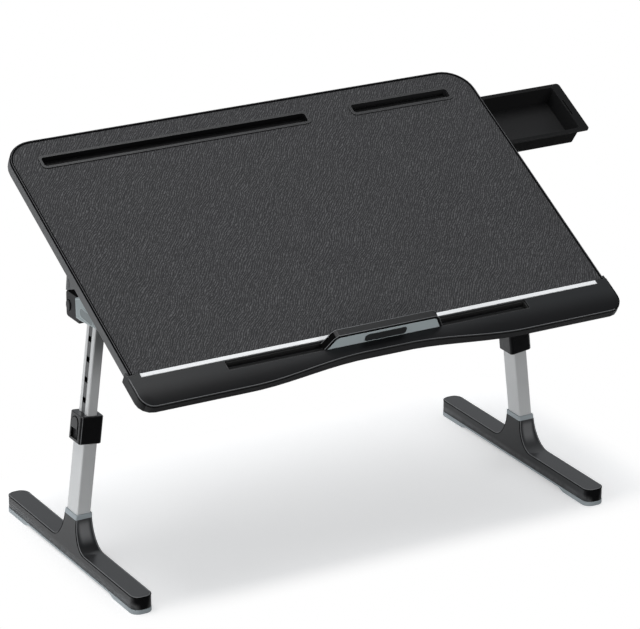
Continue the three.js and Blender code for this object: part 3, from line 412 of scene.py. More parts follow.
def grown(name, group, mesh, **values):
    """The mesh that a Geometry Nodes group makes from another one."""
    holder = blank(name, mesh)
    modifier = holder.modifiers.new("nodes", "NODES")
    modifier.node_group = group
    for item in group.interface.items_tree:
        if item.in_out == "INPUT" and item.name in values:
            modifier[item.identifier] = values[item.name]
    return worked(holder, name)


sweep_nodes = sweep_group()


def bead(name, paths, radius, material, body, slot, place=deck_place):
    """Round beads along paths of millimetre points, as one piece. Each path is (points, closed)."""
    shell = bmesh.new()
    for points, closed in paths:
        corners = [shell.verts.new(place @ Vector(point)) for point in points]
        ends = corners[1:] + corners[:1] if closed else corners[1:]
        for start, end in zip(corners, ends):
            shell.edges.new((start, end))
    mesh = grown(name, sweep_nodes, made_mesh(name + "_path", shell), Radius=radius / 1000, Material=material)
    fit_piece(name, mesh, material, body, slot)


def rim_path(inset, height):
    """Round the board from the front left to the front right, drawn in by an inset."""
    points = [(inset - deck_half, band_start, height)]
    for sign, start in ((-1, 1.0), (1, 0.5)):
        for i in range(corner_steps + 1):
            turn = math.pi * (start - 0.5 * i / corner_steps)
            reach = deck_corner - inset
            points.append((sign * (deck_half - deck_corner) + reach * math.cos(turn),
                           deck_depth - deck_corner + reach * math.sin(turn), height))
    return points + [(deck_half - inset, band_start, height)]


# The bead's crest: a painted highlight.
bead("core_line", [(rim_path(1.75, 0.75), False)], 0.38, line_grey, "deck", "grey_shell")
# Black lines along the joints on either side of the bead: painted shade.
bead("bead_shade_lines", [(rim_path(0.5, -0.75), False), (rim_path(3.55, 0.1), False)], 0.5, bead_black, "deck",
     "soft_black")

# Wrist rest. A moulded shell in satin black plastic, clipped on the board's front. A thin black seam below
# its top edge parts the cover from the shell; it is a real joint, drawn black as painted shade in it. A light
# line along the top edge is a painted highlight, except round the right corner, where the edge is painted
# black as painted shade. The top is painted darker towards the front, where it rolls down, as painted shade.
rest_half, rest_corner, rest_ends = 328.5, 17.5, (22, 27, 34, 43)
wave_depth, wave_inner, wave_outer, wave_step, wave_steps = 12.8, 30.0, 185.0, 6.0, 51
roll_drop, roll_reach, roll_dark_until, roll_plain_from = 3.5, 25.0, 0.010, 0.034
roll_painted_shade = (0.001, 0.001, 0.0015, 1)
# The last points of the edge line lie round the right corner, where the edge is painted black as painted
# shade.
shaded_points = 9
rest_black = moulded("rest_plastic", (0.0125, 0.0135, 0.0145), 0.36, wear_and_highlight=0.9, grain=0.25, grain_size=1400.0,
                     gloss=0.3, edge=0.14, width=0.0014)
shell_black = moulded("shell_plastic", (0.036, 0.036, 0.037), 0.45, wear_and_highlight=0.2, grain=0.25, gloss=0.3)
# Near black, for real joints and for painted shade in joints, recesses and faces that lie in shade.
seam_and_shade_black = moulded("seam_and_shade_black", (0.0015, 0.0015, 0.0015), 0.8, wear_and_highlight=0.0, gloss=0.1)
# A light grey for lines along edges that are painted highlights.
highlight_grey = moulded("painted_highlight_grey", (0.185, 0.19, 0.195), 0.4, wear_and_highlight=0.0, grain=0.1)


def paint_light_or_shade_over(material, shade, share_in):
    """Lays painted light or shade over a material's colour: painted shade on the rest's rolled front and a
    painted sheen on the feet. How much of it shows is worked out by share_in.
    """
    tree = material.node_tree
    shader = next(node for node in tree.nodes if node.type == "BSDF_PRINCIPLED")
    colour = shader.inputs["Base Color"]
    under = colour.links[0].from_socket
    tree.links.new(blend(tree, share_in(tree), under, shade), colour)


def rolled_front_shade_share(tree):
    """The share of painted shade: one at the rest's front, where its top rolls down, and nothing behind it.
    """
    place = add_node(tree, "ShaderNodeTexCoord").outputs["Object"]
    level = Matrix.Rotation(-deck_tilt, 3, "X") @ deck_place.translation
    flat = add_node(tree, "ShaderNodeMapping", Vector=place, Location=tuple(-level),
                    Rotation=(-deck_tilt, 0, 0))
    along = add_node(tree, "ShaderNodeSeparateXYZ", Vector=flat.outputs[0])
    share = add_node(tree, "ShaderNodeMapRange", {"interpolation_type": "SMOOTHSTEP"},
                     Value=along.outputs["Y"], From_Min=roll_plain_from, From_Max=roll_dark_until)
    return share.outputs[0]


def repaint(piece, material, chosen, place=deck_place):
    """Gives a material to the faces that are chosen by their middle and their normal, both in a place's
    own millimetres."""
    piece.data.materials.append(material)
    slot = len(piece.data.materials) - 1
    to_place = place.inverted()
    for face in piece.data.polygons:
        if chosen(to_place @ face.center, (to_place.to_3x3() @ face.normal).normalized()):
            face.material_index = slot


def rest_front(x):
    past = abs(x) - (rest_half - rest_corner)
    if past > 0:
        return rest_corner - math.sqrt(max(rest_corner ** 2 - past ** 2, 0))
    share = min(max((wave_outer - abs(x)) / (wave_outer - wave_inner), 0), 1)
    return wave_depth * share * share * (3 - 2 * share)


def rest_line(inset, drop):
    """Along one end face, the front edge and the other end face, drawn in and lowered from the top edge."""
    reach = rest_corner - inset
    turns = [math.pi / 2 * i / 6 for i in range(7)]
    front = [wave_step * i for i in range(-wave_steps, wave_steps + 1)]
    straight = rest_half - rest_corner
    right = [(straight + reach * math.sin(t), rest_corner - reach * math.cos(t)) for t in turns]
    right += [(rest_half - inset, v) for v in rest_ends]
    row = [(-x, v) for x, v in reversed(right)] + [(x, rest_front(x) + inset) for x in front] + right
    return [(x, v, -roll_drop * max(1 - v / roll_reach, 0) ** 2 - drop) for x, v in row]


# The rest's top is painted darker where it rolls down at the front: painted shade.
paint_light_or_shade_over(rest_black, roll_painted_shade, rolled_front_shade_share)
rest = dress("wrist_rest", rest_black, "deck", "black_shell", 0.0012, 3, 40)
repaint(rest, shell_black, lambda spot, normal: normal.y < -0.6)
# The cover's real seam, drawn black as painted shade in the joint.
bead("rest_seam", [(rest_line(0.35, 1.9), False)], 0.62, seam_and_shade_black, "deck", "black_shell")
# A light line along the top edge: a painted highlight.
highlight_line = rest_line(0.85, 0.12)[:-shaded_points]
bead("rest_edge_highlight", [(highlight_line, False)], 0.42, highlight_grey, "deck", "black_shell")
# Round the right corner the edge line is painted black: painted shade.
shaded_edge_line = rest_line(0.8, 0.05)[-shaded_points - 1:]
bead("rest_end", [(shaded_edge_line, False)], 0.6, seam_and_shade_black, "deck", "black_shell")

# Strip. A white gloss plastic strip with a very fine grain, pressed into a seat along the back of the
# wrist rest.
strip_white = moulded("strip_plastic", (0.93, 0.94, 0.95), 0.3, wear_and_highlight=0.0, grain=0.1)
dress("trim_strip", strip_white, "deck", "white_trim", 0.0004)

# Track and slots. Soft black plastic liners pressed into the rest's groove and the board's pockets. Each
# slot's flange is lightened along its edges, as wear and a painted highlight, and the slot's inside below the
# flange is painted darker as painted shade. Two low ribs run along the track's floor.
rib_half, rib_level, rib_rows, flange_under = 204, -9.0, (31.5, 37.4), 0.9
slot_shade_black = moulded("slot_inside_shade", (0.006, 0.006, 0.0065), 0.5, wear_and_highlight=0.8, grain=0.4, gloss=0.3, edge=0.07)
track_black = moulded("track_plastic", (0.022, 0.022, 0.022), 0.5, wear_and_highlight=0.5, grain=0.4, gloss=0.3, edge=0.05)
flange_black = moulded("flange_plastic", (0.020, 0.020, 0.021), 0.4, wear_and_highlight=1.0, grain=0.3, edge=0.12,
                       width=0.0012)
dress("stopper_track", track_black, "deck", "soft_black", 0.0003)
bead("track_ribs", [([(-rib_half, v, rib_level), (rib_half, v, rib_level)], False) for v in rib_rows], 0.4,
     line_grey, "deck", "soft_black")
for node in ("tablet_slot", "phone_slot"):
    liner = dress(node, flange_black, "deck", "soft_black", 0.0007, 3)
    liner.data.materials.append(slot_shade_black)
    levels = [(deck_place.inverted() @ corner.co).z for corner in liner.data.vertices]
    # Faces below the flange take the darker colour: painted shade in the slot.
    for face in liner.data.polygons:
        if max(levels[k] for k in face.vertices) < flange_under:
            face.material_index = 1

# Stopper. A black moulded plate that stands in the track, faced with a blue-grey panel and a rubber pad.
# A dark joint runs round the panel, drawn black as painted shade in it; light lines along the plate's front
# and back rims are painted highlights, and the plate's ends are painted black as painted shade.
panel_joint = [(-76.3, -1.2), (-67.5, 14.7), (-63.5, 17.3), (66.5, 17.3), (70.5, 14.7), (79.3, -1.2)]
plate_rim = [(-79.1, 0.2), (-70.3, 15.9), (-64.9, 19.85), (67.9, 19.85), (73.3, 15.9), (82.1, 0.2)]
joint_plane, rim_planes = 27.75, (28.2, 37.7)
stopper_black = moulded("stopper_plastic", (0.0075, 0.0075, 0.0078), 0.42, wear_and_highlight=0.8, edge=0.08, gloss=0.4)
stopper_grey = moulded("stopper_panel", (0.60, 0.68, 0.70), 0.45, wear_and_highlight=0.2)
stopper_rubber = moulded("stopper_rubber", (0.034, 0.036, 0.037), 0.75, wear_and_highlight=0.0, grain=0.6, gloss=0.2)
stopper = dress("stopper_body", stopper_black, "stopper", "soft_black", 0.0007, 3)
# The plate's ends are painted black: painted shade.
repaint(stopper, seam_and_shade_black, lambda spot, normal: abs(normal.x) > 0.6)
dress("stopper_face", stopper_grey, "stopper", "blue_grey", 0.0003)
dress("stopper_pad", stopper_rubber, "stopper", "soft_black", 0.0004)
joint_path = [(x, joint_plane, n) for x, n in panel_joint]
# The joint round the panel, drawn black as painted shade in it.
bead("face_joint", [(joint_path, False)], 0.5, seam_and_shade_black, "stopper", "soft_black")
rim_paths = [[(x, v, n) for x, n in plate_rim] for v in rim_planes]
# Light lines along the rims: painted highlights.
bead("stopper_rim_highlights", [(path, False) for path in rim_paths], 0.36, highlight_grey, "stopper", "soft_black")

# Drawer. A thin moulded tray that hangs by its rim on two grey rails and stops against a crossbar. Its
# outside is matt and painted a little darker than its inside, as painted shade under the board, and the
# finger groove let into its end flange is painted black as painted shade.
tray_middle, under_rim = Vector((355.5, 344.5, 0)), -18
groove_from, groove_to, groove_half, groove_floor = 443.2, 449, 14, -15.5
drawer_black = moulded("drawer_plastic", (0.0022, 0.0022, 0.0024), 0.5, wear_and_highlight=0.5, grain=0.3, gloss=0.16,
                       edge=0.07)
drawer_inside = moulded("drawer_inside", (0.014, 0.014, 0.0145), 0.5, wear_and_highlight=0.0, grain=0.3, gloss=0.2)
drawer_shaded_outside = moulded("drawer_shaded_outside", (0.0012, 0.0012, 0.0013), 0.6, wear_and_highlight=0.4, grain=0.3, gloss=0.06,
                         edge=0.05)


def in_tray(spot, normal):
    """A face of the tray's floor, or of the inner side of its walls."""
    inwards = (tray_middle - spot).xy.dot(normal.xy) > 0
    return spot.z < under_rim and (normal.z > 0.8 or (normal.z > -0.3 and inwards))


def outside_tray(spot, normal):
    return spot.z < under_rim and not in_tray(spot, normal)


def in_groove(spot, normal):
    across = groove_from < spot.x < groove_to and abs(spot.y - tray_middle.y) < groove_half
    return across and under_rim <= spot.z < groove_floor


drawer = dress("drawer_tray", drawer_black, "drawer", "black_shell", 0.0007, 3)
repaint(drawer, drawer_inside, in_tray)
# The outside takes the darker colour: painted shade under the board.
repaint(drawer, drawer_shaded_outside, outside_tray)
# The finger groove is painted black: painted shade in the recess.
repaint(drawer, seam_and_shade_black, in_groove)
for node in ("drawer_rail_front", "drawer_rail_back", "drawer_stop"):
    dress(node, band_grey, "deck", "grey_shell", 0.0004)

# Hinges. Under each side a bracket is screwed to the board. The cradle turns on its fold pin, the leg's
# head block turns on the cradle's tilt pin, and a sprung lever beside them frees the tilt. Bracket and
# cradle are matt black plastic and the pins are steel.
lever_edge = [(145, -17), (188, -17), (192, -20), (200.4, -30.3), (187.6, -51.2), (176, -45), (140, -21)]
lever_middle, lever_share, lever_plane, dip_floor = (170, -31), (0.91, 0.87), 319.85, 319.5
cheek_slit, cheek_plane = [(217.2, -31.5), (218.3, -27.5), (220.4, -23.8), (223.4, -21.0)], 319.95
oval_steps = 24
hinge_black = moulded("hinge_plastic", (0.0022, 0.0022, 0.0025), 0.75, wear_and_highlight=0.15, gloss=0.05, edge=0.015)
cheek_grey = moulded("cheek_plastic", (0.101, 0.104, 0.107), 0.45, wear_and_highlight=0.25)
block_grey = moulded("block_plastic", (0.0115, 0.012, 0.013), 0.45, wear_and_highlight=0.5, gloss=0.4, edge=0.06)
lever_rim = moulded("lever_rim", (0.45, 0.50, 0.51), 0.42, wear_and_highlight=0.0)
lever_dip = moulded("lever_dip", (0.20, 0.225, 0.23), 0.5, wear_and_highlight=0.0)
lever_grey = moulded("lever_plastic", (0.29, 0.335, 0.345), 0.42, wear_and_highlight=0.25, edge=0.05)
button_black = moulded("button_plastic", (0.022, 0.022, 0.023), 0.4, wear_and_highlight=0.4)
steel_dark, steel_light = (0.42, 0.43, 0.45, 1), (0.52, 0.53, 0.55, 1)


def pin_steel_material():
    """Turned steel, faintly uneven."""
    material, tree, output = new_material("pin_steel")
    place = add_node(tree, "ShaderNodeTexCoord").outputs["Object"]
    surface = add_node(tree, "ShaderNodeGroup", {"node_tree": grain_nodes}, Vector=place, Grain_Size=1500.0,
                       Cloud_Size=cloud_size)
    rough = add_node(tree, "ShaderNodeMapRange", Value=surface.outputs["Grain"], To_Min=0.22, To_Max=0.42)
    base = blend(tree, surface.outputs["Cloud"], steel_dark, steel_light)
    shader = add_node(tree, "ShaderNodeBsdfPrincipled", Base_Color=base, Metallic=1.0,
                      Roughness=rough.outputs[0])
    tree.links.new(shader.outputs[0], output.inputs["Surface"])
    return material


pin_steel = pin_steel_material()


def oval(v, n, half_long, half_wide, lean, x):
    """A stadium outline on an upright plane of the board, leaning by an angle."""
    points = []
    for i in range(oval_steps):
        turn = 2 * math.pi * (i + 0.5) / oval_steps
        shift = (half_long - half_wide) * (1 if math.cos(turn) > 0 else -1)
        a, b = shift + half_wide * math.cos(turn), half_wide * math.sin(turn)
        points.append((x, v + a * math.cos(lean) - b * math.sin(lean),
                       n + a * math.sin(lean) + b * math.cos(lean)))
    return points


def side_plate(name, outline, inner, material, body, slot):
    """A thin plate from an outline on an upright plane back to another plane."""
    shell = bmesh.new()
    front = [shell.verts.new(deck_place @ Vector(point)) for point in outline]
    back = [shell.verts.new(deck_place @ Vector((inner, point[1], point[2]))) for point in outline]
    shell.faces.new(front)
    shell.faces.new(back)
    for k in range(len(front)):
        shell.faces.new((front[k - 1], front[k], back[k], back[k - 1]))
    bmesh.ops.recalc_face_normals(shell, faces=shell.faces)
    fit_piece(name, settled(made_mesh(name, shell), name, []), material, body, slot)


def drawn_in(value, middle, share):
    return middle + (value - middle) * share


for side, sign in (("left", -1), ("right", 1)):
    dress(side + "_hinge_bracket", hinge_black, "deck", "black_shell", 0.0005)
    dress(side + "_side_cheek", cheek_grey, "deck", "grey_shell", 0.0005)
    dress(side + "_fold_pin", pin_steel, "deck", "steel", 0.0004)
    dress(side + "_lever_pin", pin_steel, "deck", "steel", 0.0003)
    dress(side + "_fold_cradle", hinge_black, side + "_cradle", "black_shell", 0.0005)
    block = dress(side + "_head_block", block_grey, side + "_head", "black_shell", 0.0008, 3)
    # The block's top faces, under the board, are painted black: painted shade.
    repaint(block, seam_and_shade_black, lambda spot, normal: normal.z > 0.3)
    dress(side + "_tilt_pin", pin_steel, side + "_head", "steel", 0.0003)
    dress(side + "_fold_button", button_black, side + "_fold_button", "soft_black", 0.0004)
    dress(side + "_tilt_lever", lever_grey, side + "_tilt_lever", "blue_grey", 0.0009, 3)
    dip = oval(v=167.5, n=-28.5, half_long=17.5, half_wide=6.2, lean=math.radians(-23.6), x=sign * 320.1)
    rim = [(sign * lever_plane, drawn_in(v, lever_middle[0], lever_share[0]),
            drawn_in(n, lever_middle[1], lever_share[1])) for v, n in lever_edge]
    bead(side + "_lever_rims", [(dip, True), (rim, True)], 0.5, lever_rim, side + "_tilt_lever", "blue_grey")
    side_plate(side + "_lever_dip", dip, sign * dip_floor, lever_dip, side + "_tilt_lever", "blue_grey")
    ring = oval(v=213.2, n=-56.45, half_long=6.7, half_wide=5.8, lean=math.radians(83), x=sign * 316.75)
    bead(side + "_button_ring", [(ring, True)], 0.65, seam_and_shade_black, side + "_head", "soft_black")
    slit = [(sign * cheek_plane, v, n) for v, n in cheek_slit]
    bead(side + "_cheek_slit", [(slit, False)], 0.4, seam_and_shade_black, "deck", "grey_shell")

# Legs. Two drawn aluminium tubes slide in each other; the inner one has a channel with a dark grey rack
# strip, and lock holes 25.5 mm apart. The channel's floor, the rack's sides, the walls of the holes and dark
# rims round them are painted black as painted shade in these recesses, and the inner tube's side towards
# the other leg is painted black with them. A black collar on the outer one holds the button; a light line up
# its front corner is a painted highlight. Places on a leg are millimetres from its root, 45 mm above the
# floor, with z up along the leg.
leg_splay, leg_spread, leg_root = math.radians(6.78), 316.515, 45.0
channel_half, channel_floor = 4.3, 6.6
hole_plane, hole_first, hole_pitch, hole_count = 6.4, 134.45, 25.5, 5
hole_outline = [(-3.4, -3), (3.4, -3), (3.4, 3), (-3.4, 3)]
arch_plane, arch_half, arch_foot, arch_spring, arch_steps = 15.95, 8.1, 112, 132, 12
pocket_front, pocket_half, pocket_from, pocket_to = 15.0, 8, 111, 140
collar_corner, collar_radius, collar_rows = (11.9, -11.2), 3.85, (109.5, 142.6)
tube_dark, tube_light = (0.60, 0.61, 0.615, 1), (0.74, 0.75, 0.75, 1)
collar_black = moulded("collar_plastic", (0.0045, 0.0045, 0.005), 0.32, wear_and_highlight=0.9, gloss=0.45, edge=0.12,
                       width=0.0011, coat=0.6)
rack_grey = moulded("rack_plastic", (0.115, 0.118, 0.12), 0.5, wear_and_highlight=0.2)


def aluminium_material(name, lean):
    """Drawn and anodised aluminium, with fine lines along the leg."""
    material, tree, output = new_material(name)
    place = add_node(tree, "ShaderNodeTexCoord").outputs["Object"]
    along = add_node(tree, "ShaderNodeMapping", Vector=place, Rotation=(0, lean, 0))
    drawn = add_node(tree, "ShaderNodeMapping", Vector=along.outputs[0], Scale=(1.0, 1.0, 0.008))
    lines = add_node(tree, "ShaderNodeTexNoise", Vector=drawn.outputs[0], Scale=1500.0, Detail=3.0)
    cloud = add_node(tree, "ShaderNodeTexNoise", Vector=place, Scale=14.0, Detail=2.0)
    rough = add_node(tree, "ShaderNodeMapRange", Value=lines.outputs[0], From_Min=0.3, From_Max=0.7,
                     To_Min=0.38, To_Max=0.52)
    tint = math_step(tree, "MULTIPLY_ADD", cloud.outputs[0], 0.4, 0.3)
    streak = math_step(tree, "MULTIPLY_ADD", lines.outputs[0], 0.5, tint)
    bump = add_node(tree, "ShaderNodeBump", Height=lines.outputs[0], Strength=0.15, Distance=0.0001)
    shader = add_node(tree, "ShaderNodeBsdfPrincipled", Base_Color=blend(tree, streak, tube_dark, tube_light),
                      Metallic=0.25, Roughness=rough.outputs[0], Normal=bump.outputs[0])
    tree.links.new(shader.outputs[0], output.inputs["Surface"])
    return material


def shade_in_tube(sign):
    """Picks the faces painted black as painted shade: the channel's floor, the walls of the holes, and also
    the tube's side towards the other leg.
    """
    return lambda spot, normal: abs(spot.y) < channel_half and sign * spot.x < channel_floor


def pocket_floor(sign):
    """Picks the floor of the thumb pocket in the collar."""
    def chosen(spot, normal):
        inside = abs(spot.y) < pocket_half and pocket_from < spot.z < pocket_to
        return inside and sign * spot.x < pocket_front and sign * normal.x > 0.8
    return chosen


def collar_line(sign, degrees):
    """Up the collar's rounded front corner, at an angle round it."""
    turn = math.radians(degrees)
    x, y = collar_corner
    return [(sign * (x + collar_radius * math.cos(turn)), y - collar_radius * math.sin(turn), z)
            for z in collar_rows]


def collar_arch(sign):
    """Round the thumb pocket, from its foot over its round top."""
    turns = [math.pi * i / arch_steps for i in range(arch_steps + 1)]
    top = [(arch_half * math.cos(t), arch_spring + arch_half * math.sin(t)) for t in turns]
    outline = [(arch_half, arch_foot)] + top + [(-arch_half, arch_foot)]
    return [(sign * arch_plane, y, z) for y, z in outline]


for side, sign in (("left", -1), ("right", 1)):
    head, foot = side + "_head", side + "_foot"
    root = desk_middle + Vector((sign * leg_spread / 1000, 0, leg_root / 1000))
    leg_turn = Matrix.Rotation(-sign * leg_splay, 4, "Y")
    leg_place = Matrix.Translation(root) @ leg_turn @ Matrix.Scale(0.001, 4)
    tube_metal = aluminium_material(side + "_tube_aluminium", sign * leg_splay)
    inner = dress(side + "_inner_tube", tube_metal, head, "aluminium", 0.0003)
    # The channel's floor, the holes' walls and the side towards the other leg are painted black: painted
    # shade.
    repaint(inner, seam_and_shade_black, shade_in_tube(sign), leg_place)
    rack = dress(side + "_height_rack", rack_grey, head, "soft_black", 0.0001, 1)
    # The rack's sides are painted black: painted shade in the channel.
    repaint(rack, seam_and_shade_black, lambda spot, normal: abs(normal.x) < 0.7)
    # Dark rims round the lock holes: painted shade.
    rims = [[(sign * hole_plane, y, z + hole_first + hole_pitch * i) for y, z in hole_outline]
            for i in range(hole_count)]
    bead(side + "_hole_shade_rims", [(rim, True) for rim in rims], 0.5, seam_and_shade_black, head, "soft_black", leg_place)
    dress(side + "_outer_tube", tube_metal, foot, "aluminium", 0.0004)
    collar = dress(side + "_height_collar", collar_black, foot, "black_shell", 0.0009, 3)
    repaint(collar, button_black, pocket_floor(sign), leg_place)
    dress(side + "_height_button", collar_black, side + "_height_button", "black_shell", 0.0005)
    # A dark line round the thumb pocket, and a dark line up the rounded front corner beside the painted
    # highlight.
    bead(side + "_collar_lines", [(collar_arch(sign), False), (collar_line(sign, 28), False)], 0.45,
         seam_and_shade_black, foot, "black_shell", leg_place)
    # A light line up the rounded front corner: a painted highlight.
    bead(side + "_collar_highlight", [(collar_line(sign, 62), False)], 0.42, highlight_grey, foot, "black_shell",
         leg_place)

# Feet. A black moulded bar with a gusset up to the tube, a grey ferrule round the tube and a grey sole
# with a thicker pad at each end. A dark line and a light line run round the bar's rounded top edge, painted
# shade and a painted highlight; the bar's front end is painted as dark as the collars, as painted shade, and
# the middle of the gusset's front is painted lighter, a painted sheen. Each foot has its own millimetres,
# from the floor under its leg.
foot_wide, foot_long, foot_corner, foot_low, foot_high = 13.5, 174.0, 11.0, 6.1, 22.0
gusset_high, gusset_wide, gusset_thin, gusset_long, gusset_lean = 58.0, 10.6, 15.5, 43.0, 1.545
edge_radius, edge_steps, side_levels = 1.2, 3, (foot_low, 16.0, 26.0)
seat_wide, seat_deep, seat_low, seat_high = 19.4, 28.0, 45.4, 66.0
shade_line_row, highlight_row, front_end = 4, 6, -160
foot_black = moulded("foot_plastic", (0.021, 0.0215, 0.0225), 0.34, wear_and_highlight=0.9, grain=0.2, edge=0.10, coat=0.5)
sole_grey = moulded("sole_plastic", (0.36, 0.40, 0.42), 0.5, wear_and_highlight=0.0)
painted_sheen_grey, shine_middle, shine_side = (0.16, 0.162, 0.165, 1), 0.3155, (0.0095, 0.0045)
shine_foot, shine_top, shine_front = (0.027, 0.040), (0.059, 0.050), (-0.012, -0.014)


def gusset_painted_sheen(tree):
    """The share of a painted sheen: one in the middle of the gusset's front, where it is painted lighter."""
    place = add_node(tree, "ShaderNodeTexCoord").outputs["Object"]
    from_middle = vector_step(tree, "SUBTRACT", place, tuple(desk_middle))
    spot = add_node(tree, "ShaderNodeSeparateXYZ", Vector=from_middle)
    aside = math_step(tree, "SUBTRACT", math_step(tree, "ABSOLUTE", spot.outputs["X"]), shine_middle)
    fades = [
        (math_step(tree, "ABSOLUTE", aside), shine_side),
        (spot.outputs["Z"], shine_foot),
        (spot.outputs["Z"], shine_top),
        (spot.outputs["Y"], shine_front),
    ]
    mask = 1.0
    for value, (none_at, full_at) in fades:
        step = add_node(tree, "ShaderNodeMapRange", {"interpolation_type": "SMOOTHSTEP"}, Value=value,
                        From_Min=none_at, From_Max=full_at)
        mask = math_step(tree, "MULTIPLY", mask, step.outputs[0])
    return mask


def gusset_share(z):
    """How far up the gusset a height is, from nothing at the bar to one at its top."""
    return max(z - foot_high, 0) / (gusset_high - foot_high)


def half_width(z):
    return foot_wide + (gusset_wide - foot_wide) * gusset_share(z)


def foot_rings():
    """For each cross section from one end of the bar to the other, its side and rounded upper edge as
    (half width, y, z), from below upwards."""
    rings = []
    sections = [("end", 90 - 15 * i) for i in range(7)] + [("sweep", 9 * i) for i in range(11)]
    rise, run = gusset_high - foot_high, gusset_long - gusset_thin
    for kind, degrees in sections:
        turn = math.radians(degrees)
        edge = []
        for k in range(edge_steps + 1):
            inset = edge_radius * (1 - math.cos(math.pi / 2 / edge_steps * k))
            drop = edge_radius * (1 - math.sin(math.pi / 2 / edge_steps * k))
            if kind == "end":
                y = foot_long - foot_corner + (foot_corner - inset) * math.sin(turn)
                wide = foot_wide - foot_corner + (foot_corner - inset) * math.cos(turn)
                edge.append((wide, y, foot_high - drop))
                continue
            out = Vector((rise * math.sin(turn), run * math.cos(turn)))
            out.normalize()
            y = gusset_thin + run * (1 - math.sin(turn)) - out.x * drop
            z = foot_high + rise * (1 - math.cos(turn)) - out.y * drop
            edge.append((half_width(z) - inset, y, z))
        wide, y, z = edge[0]
        heights = [min(level, z) for level in side_levels]
        sides = [(wide if kind == "end" else half_width(height), y, height) for height in heights]
        rings.append(sides + edge)
    return rings + [[(wide, -y, z) for wide, y, z in ring] for ring in reversed(rings)]


def foot_place(sign):
    under_leg = desk_middle + Vector((sign * leg_spread / 1000, 0, 0))
    return Matrix.Translation(under_leg) @ Matrix.Scale(0.001, 4)


def foot_lean(sign, z):
    return -sign * gusset_lean * gusset_share(z)


def foot_line(sign, row):
    """Along one row of the rings, up one side of the bar and back down the other."""
    line = [ring[row] for ring in foot_rings()]
    there = [(foot_lean(sign, z) - wide, y, z) for wide, y, z in line]
    back = [(foot_lean(sign, z) + wide, y, z) for wide, y, z in reversed(line)]
    return there + back


def foot_mesh(side, sign):
    """The bar and its gusset as one skin, with the seat for the tube cut into it."""
    place = foot_place(sign)
    shell = bmesh.new()
    loops = []
    for ring in foot_rings():
        outline = [(-wide, y, z) for wide, y, z in ring] + list(reversed(ring))
        loops.append([shell.verts.new(place @ Vector((foot_lean(sign, z) + x, y, z))) for x, y, z in outline])
    count = len(loops[0])
    for here, there in zip(loops, loops[1:]):
        for k in range(count):
            shell.faces.new((here[k], here[(k + 1) % count], there[(k + 1) % count], there[k]))
    for loop in (loops[0], loops[-1]):
        for k in range(count // 2 - 1):
            shell.faces.new((loop[k], loop[k + 1], loop[count - 2 - k], loop[count - 1 - k]))
    bmesh.ops.remove_doubles(shell, verts=shell.verts, dist=merge_gap)
    bmesh.ops.dissolve_degenerate(shell, edges=shell.edges, dist=merge_gap)
    bmesh.ops.recalc_face_normals(shell, faces=shell.faces)
    seat = bmesh.new()
    bmesh.ops.create_cube(seat, size=1)
    for corner in seat.verts:
        z = seat_low if corner.co.z < 0 else seat_high
        lean = -sign * (z - leg_root) * math.tan(leg_splay)
        corner.co = place @ Vector((lean + corner.co.x * seat_wide, corner.co.y * seat_deep, z))
    cutter = bpy.data.objects.new("seat_cutter", made_mesh("seat_cutter", seat))
    scene.collection.objects.link(cutter)
    mesh = settled(made_mesh(side + "_foot_skin", shell), side + "_foot_bar_finish",
                   [("BOOLEAN", {"object": cutter, "operation": "DIFFERENCE", "solver": "EXACT"})])
    bpy.data.objects.remove(cutter)
    return mesh


# The middle of the gusset's front is painted lighter: a painted sheen.
paint_light_or_shade_over(foot_black, painted_sheen_grey, gusset_painted_sheen)
for side, sign in (("left", -1), ("right", 1)):
    foot, place = side + "_foot", foot_place(sign)
    bar = fit_piece(side + "_foot_bar_finish", foot_mesh(side, sign), foot_black, foot, "black_shell",
                    side + "_foot_bar")
    # The bar's front end is painted as dark as the collars: painted shade.
    repaint(bar, collar_black, lambda spot, normal: normal.y < -0.35 and spot.y < front_end, place)
    # A dark line and a light line along the rounded top edge: painted shade and a painted highlight.
    shade_line, highlit_line = foot_line(sign, shade_line_row), foot_line(sign, highlight_row)
    bead(side + "_foot_painted_shade_line", [(shade_line, True)], 0.48, seam_and_shade_black, foot, "black_shell", place)
    bead(side + "_foot_painted_highlight", [(highlit_line, True)], 0.5, highlight_grey, foot, "black_shell", place)
    dress(side + "_base_ferrule", sole_grey, foot, "blue_grey", 0.0004)
    dress(side + "_foot_sole", sole_grey, foot, "blue_grey", 0.0005)

# Screws. Steel socket head screws hold the hinge brackets, the drawer's end stop and the wrist rest to
# the board from below.
bracket_underside, rest_underside, stop_underside = -15.05, -16.05, -22.05


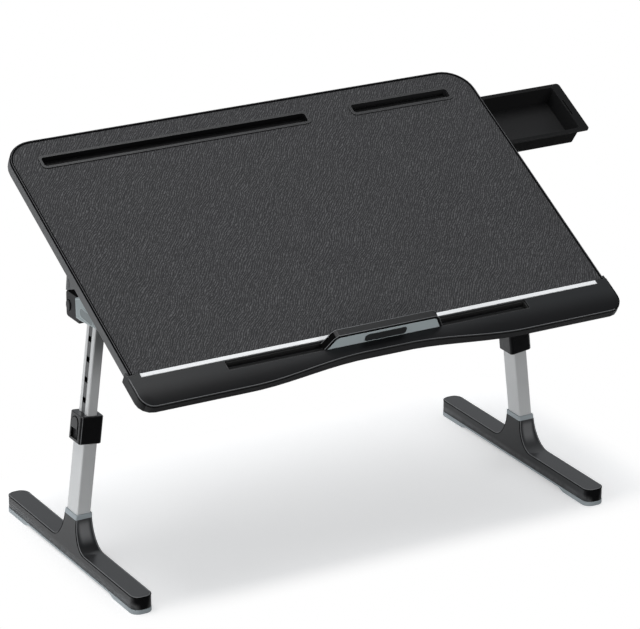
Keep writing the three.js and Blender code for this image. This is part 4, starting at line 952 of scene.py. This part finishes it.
def screw_group():
    """A low head with a hexagonal socket at every point, all turned one way."""
    group, entry, leave = new_group(
        "socket_screws", "GeometryNodeTree",
        [("Points", "Geometry"), ("Radius", "Float"), ("Turn", "Rotation"), ("Material", "Material")],
        [("Screws", "Geometry")])
    slim = math_step(group, "MULTIPLY", entry["Radius"], 0.78)
    tall = math_step(group, "MULTIPLY", entry["Radius"], 0.4)
    bore = math_step(group, "MULTIPLY", entry["Radius"], 0.42)
    head = add_node(group, "GeometryNodeMeshCone", Vertices=28, Radius_Top=slim,
                    Radius_Bottom=entry["Radius"], Depth=tall)
    hexagon = add_node(group, "GeometryNodeMeshCylinder", Vertices=6, Radius=bore, Depth=tall)
    lift = add_node(group, "ShaderNodeCombineXYZ", Z=tall)
    raised = add_node(group, "GeometryNodeTransform", Geometry=hexagon.outputs[0],
                      Translation=lift.outputs[0])
    socketed = add_node(group, "GeometryNodeMeshBoolean", {"operation": "DIFFERENCE"},
                        at0=head.outputs[0], at1=raised.outputs[0])
    placed = add_node(group, "GeometryNodeInstanceOnPoints", Points=entry["Points"],
                      Instance=socketed.outputs[0], Rotation=entry["Turn"])
    single = add_node(group, "GeometryNodeRealizeInstances", Geometry=placed.outputs[0])
    painted = add_node(group, "GeometryNodeSetMaterial", Geometry=single.outputs[0],
                       Material=entry["Material"])
    group.links.new(painted.outputs[0], leave["Screws"])
    return group


screw_nodes = screw_group()


def screws(name, places, radius):
    """Screws at places on the board, with their heads down."""
    shell = bmesh.new()
    for place in places:
        shell.verts.new(deck_place @ Vector(place))
    mesh = grown(name, screw_nodes, made_mesh(name + "_points", shell), Radius=radius / 1000,
                 Turn=(math.pi + deck_tilt, 0.0, 0.0), Material=pin_steel)
    fit_piece(name, mesh, pin_steel, "deck", "steel")


screws("bracket_screws",
       [(sign * x, v, bracket_underside) for sign in (-1, 1) for x in (256, 300) for v in (142, 231)], 3.0)
screws("rest_screws", [(x, 56, rest_underside) for x in (-300, -180, -60, 60, 180, 300)], 3.2)
screws("stop_screws", [(112.7, v, stop_underside) for v in (309, 380)], 2.6)
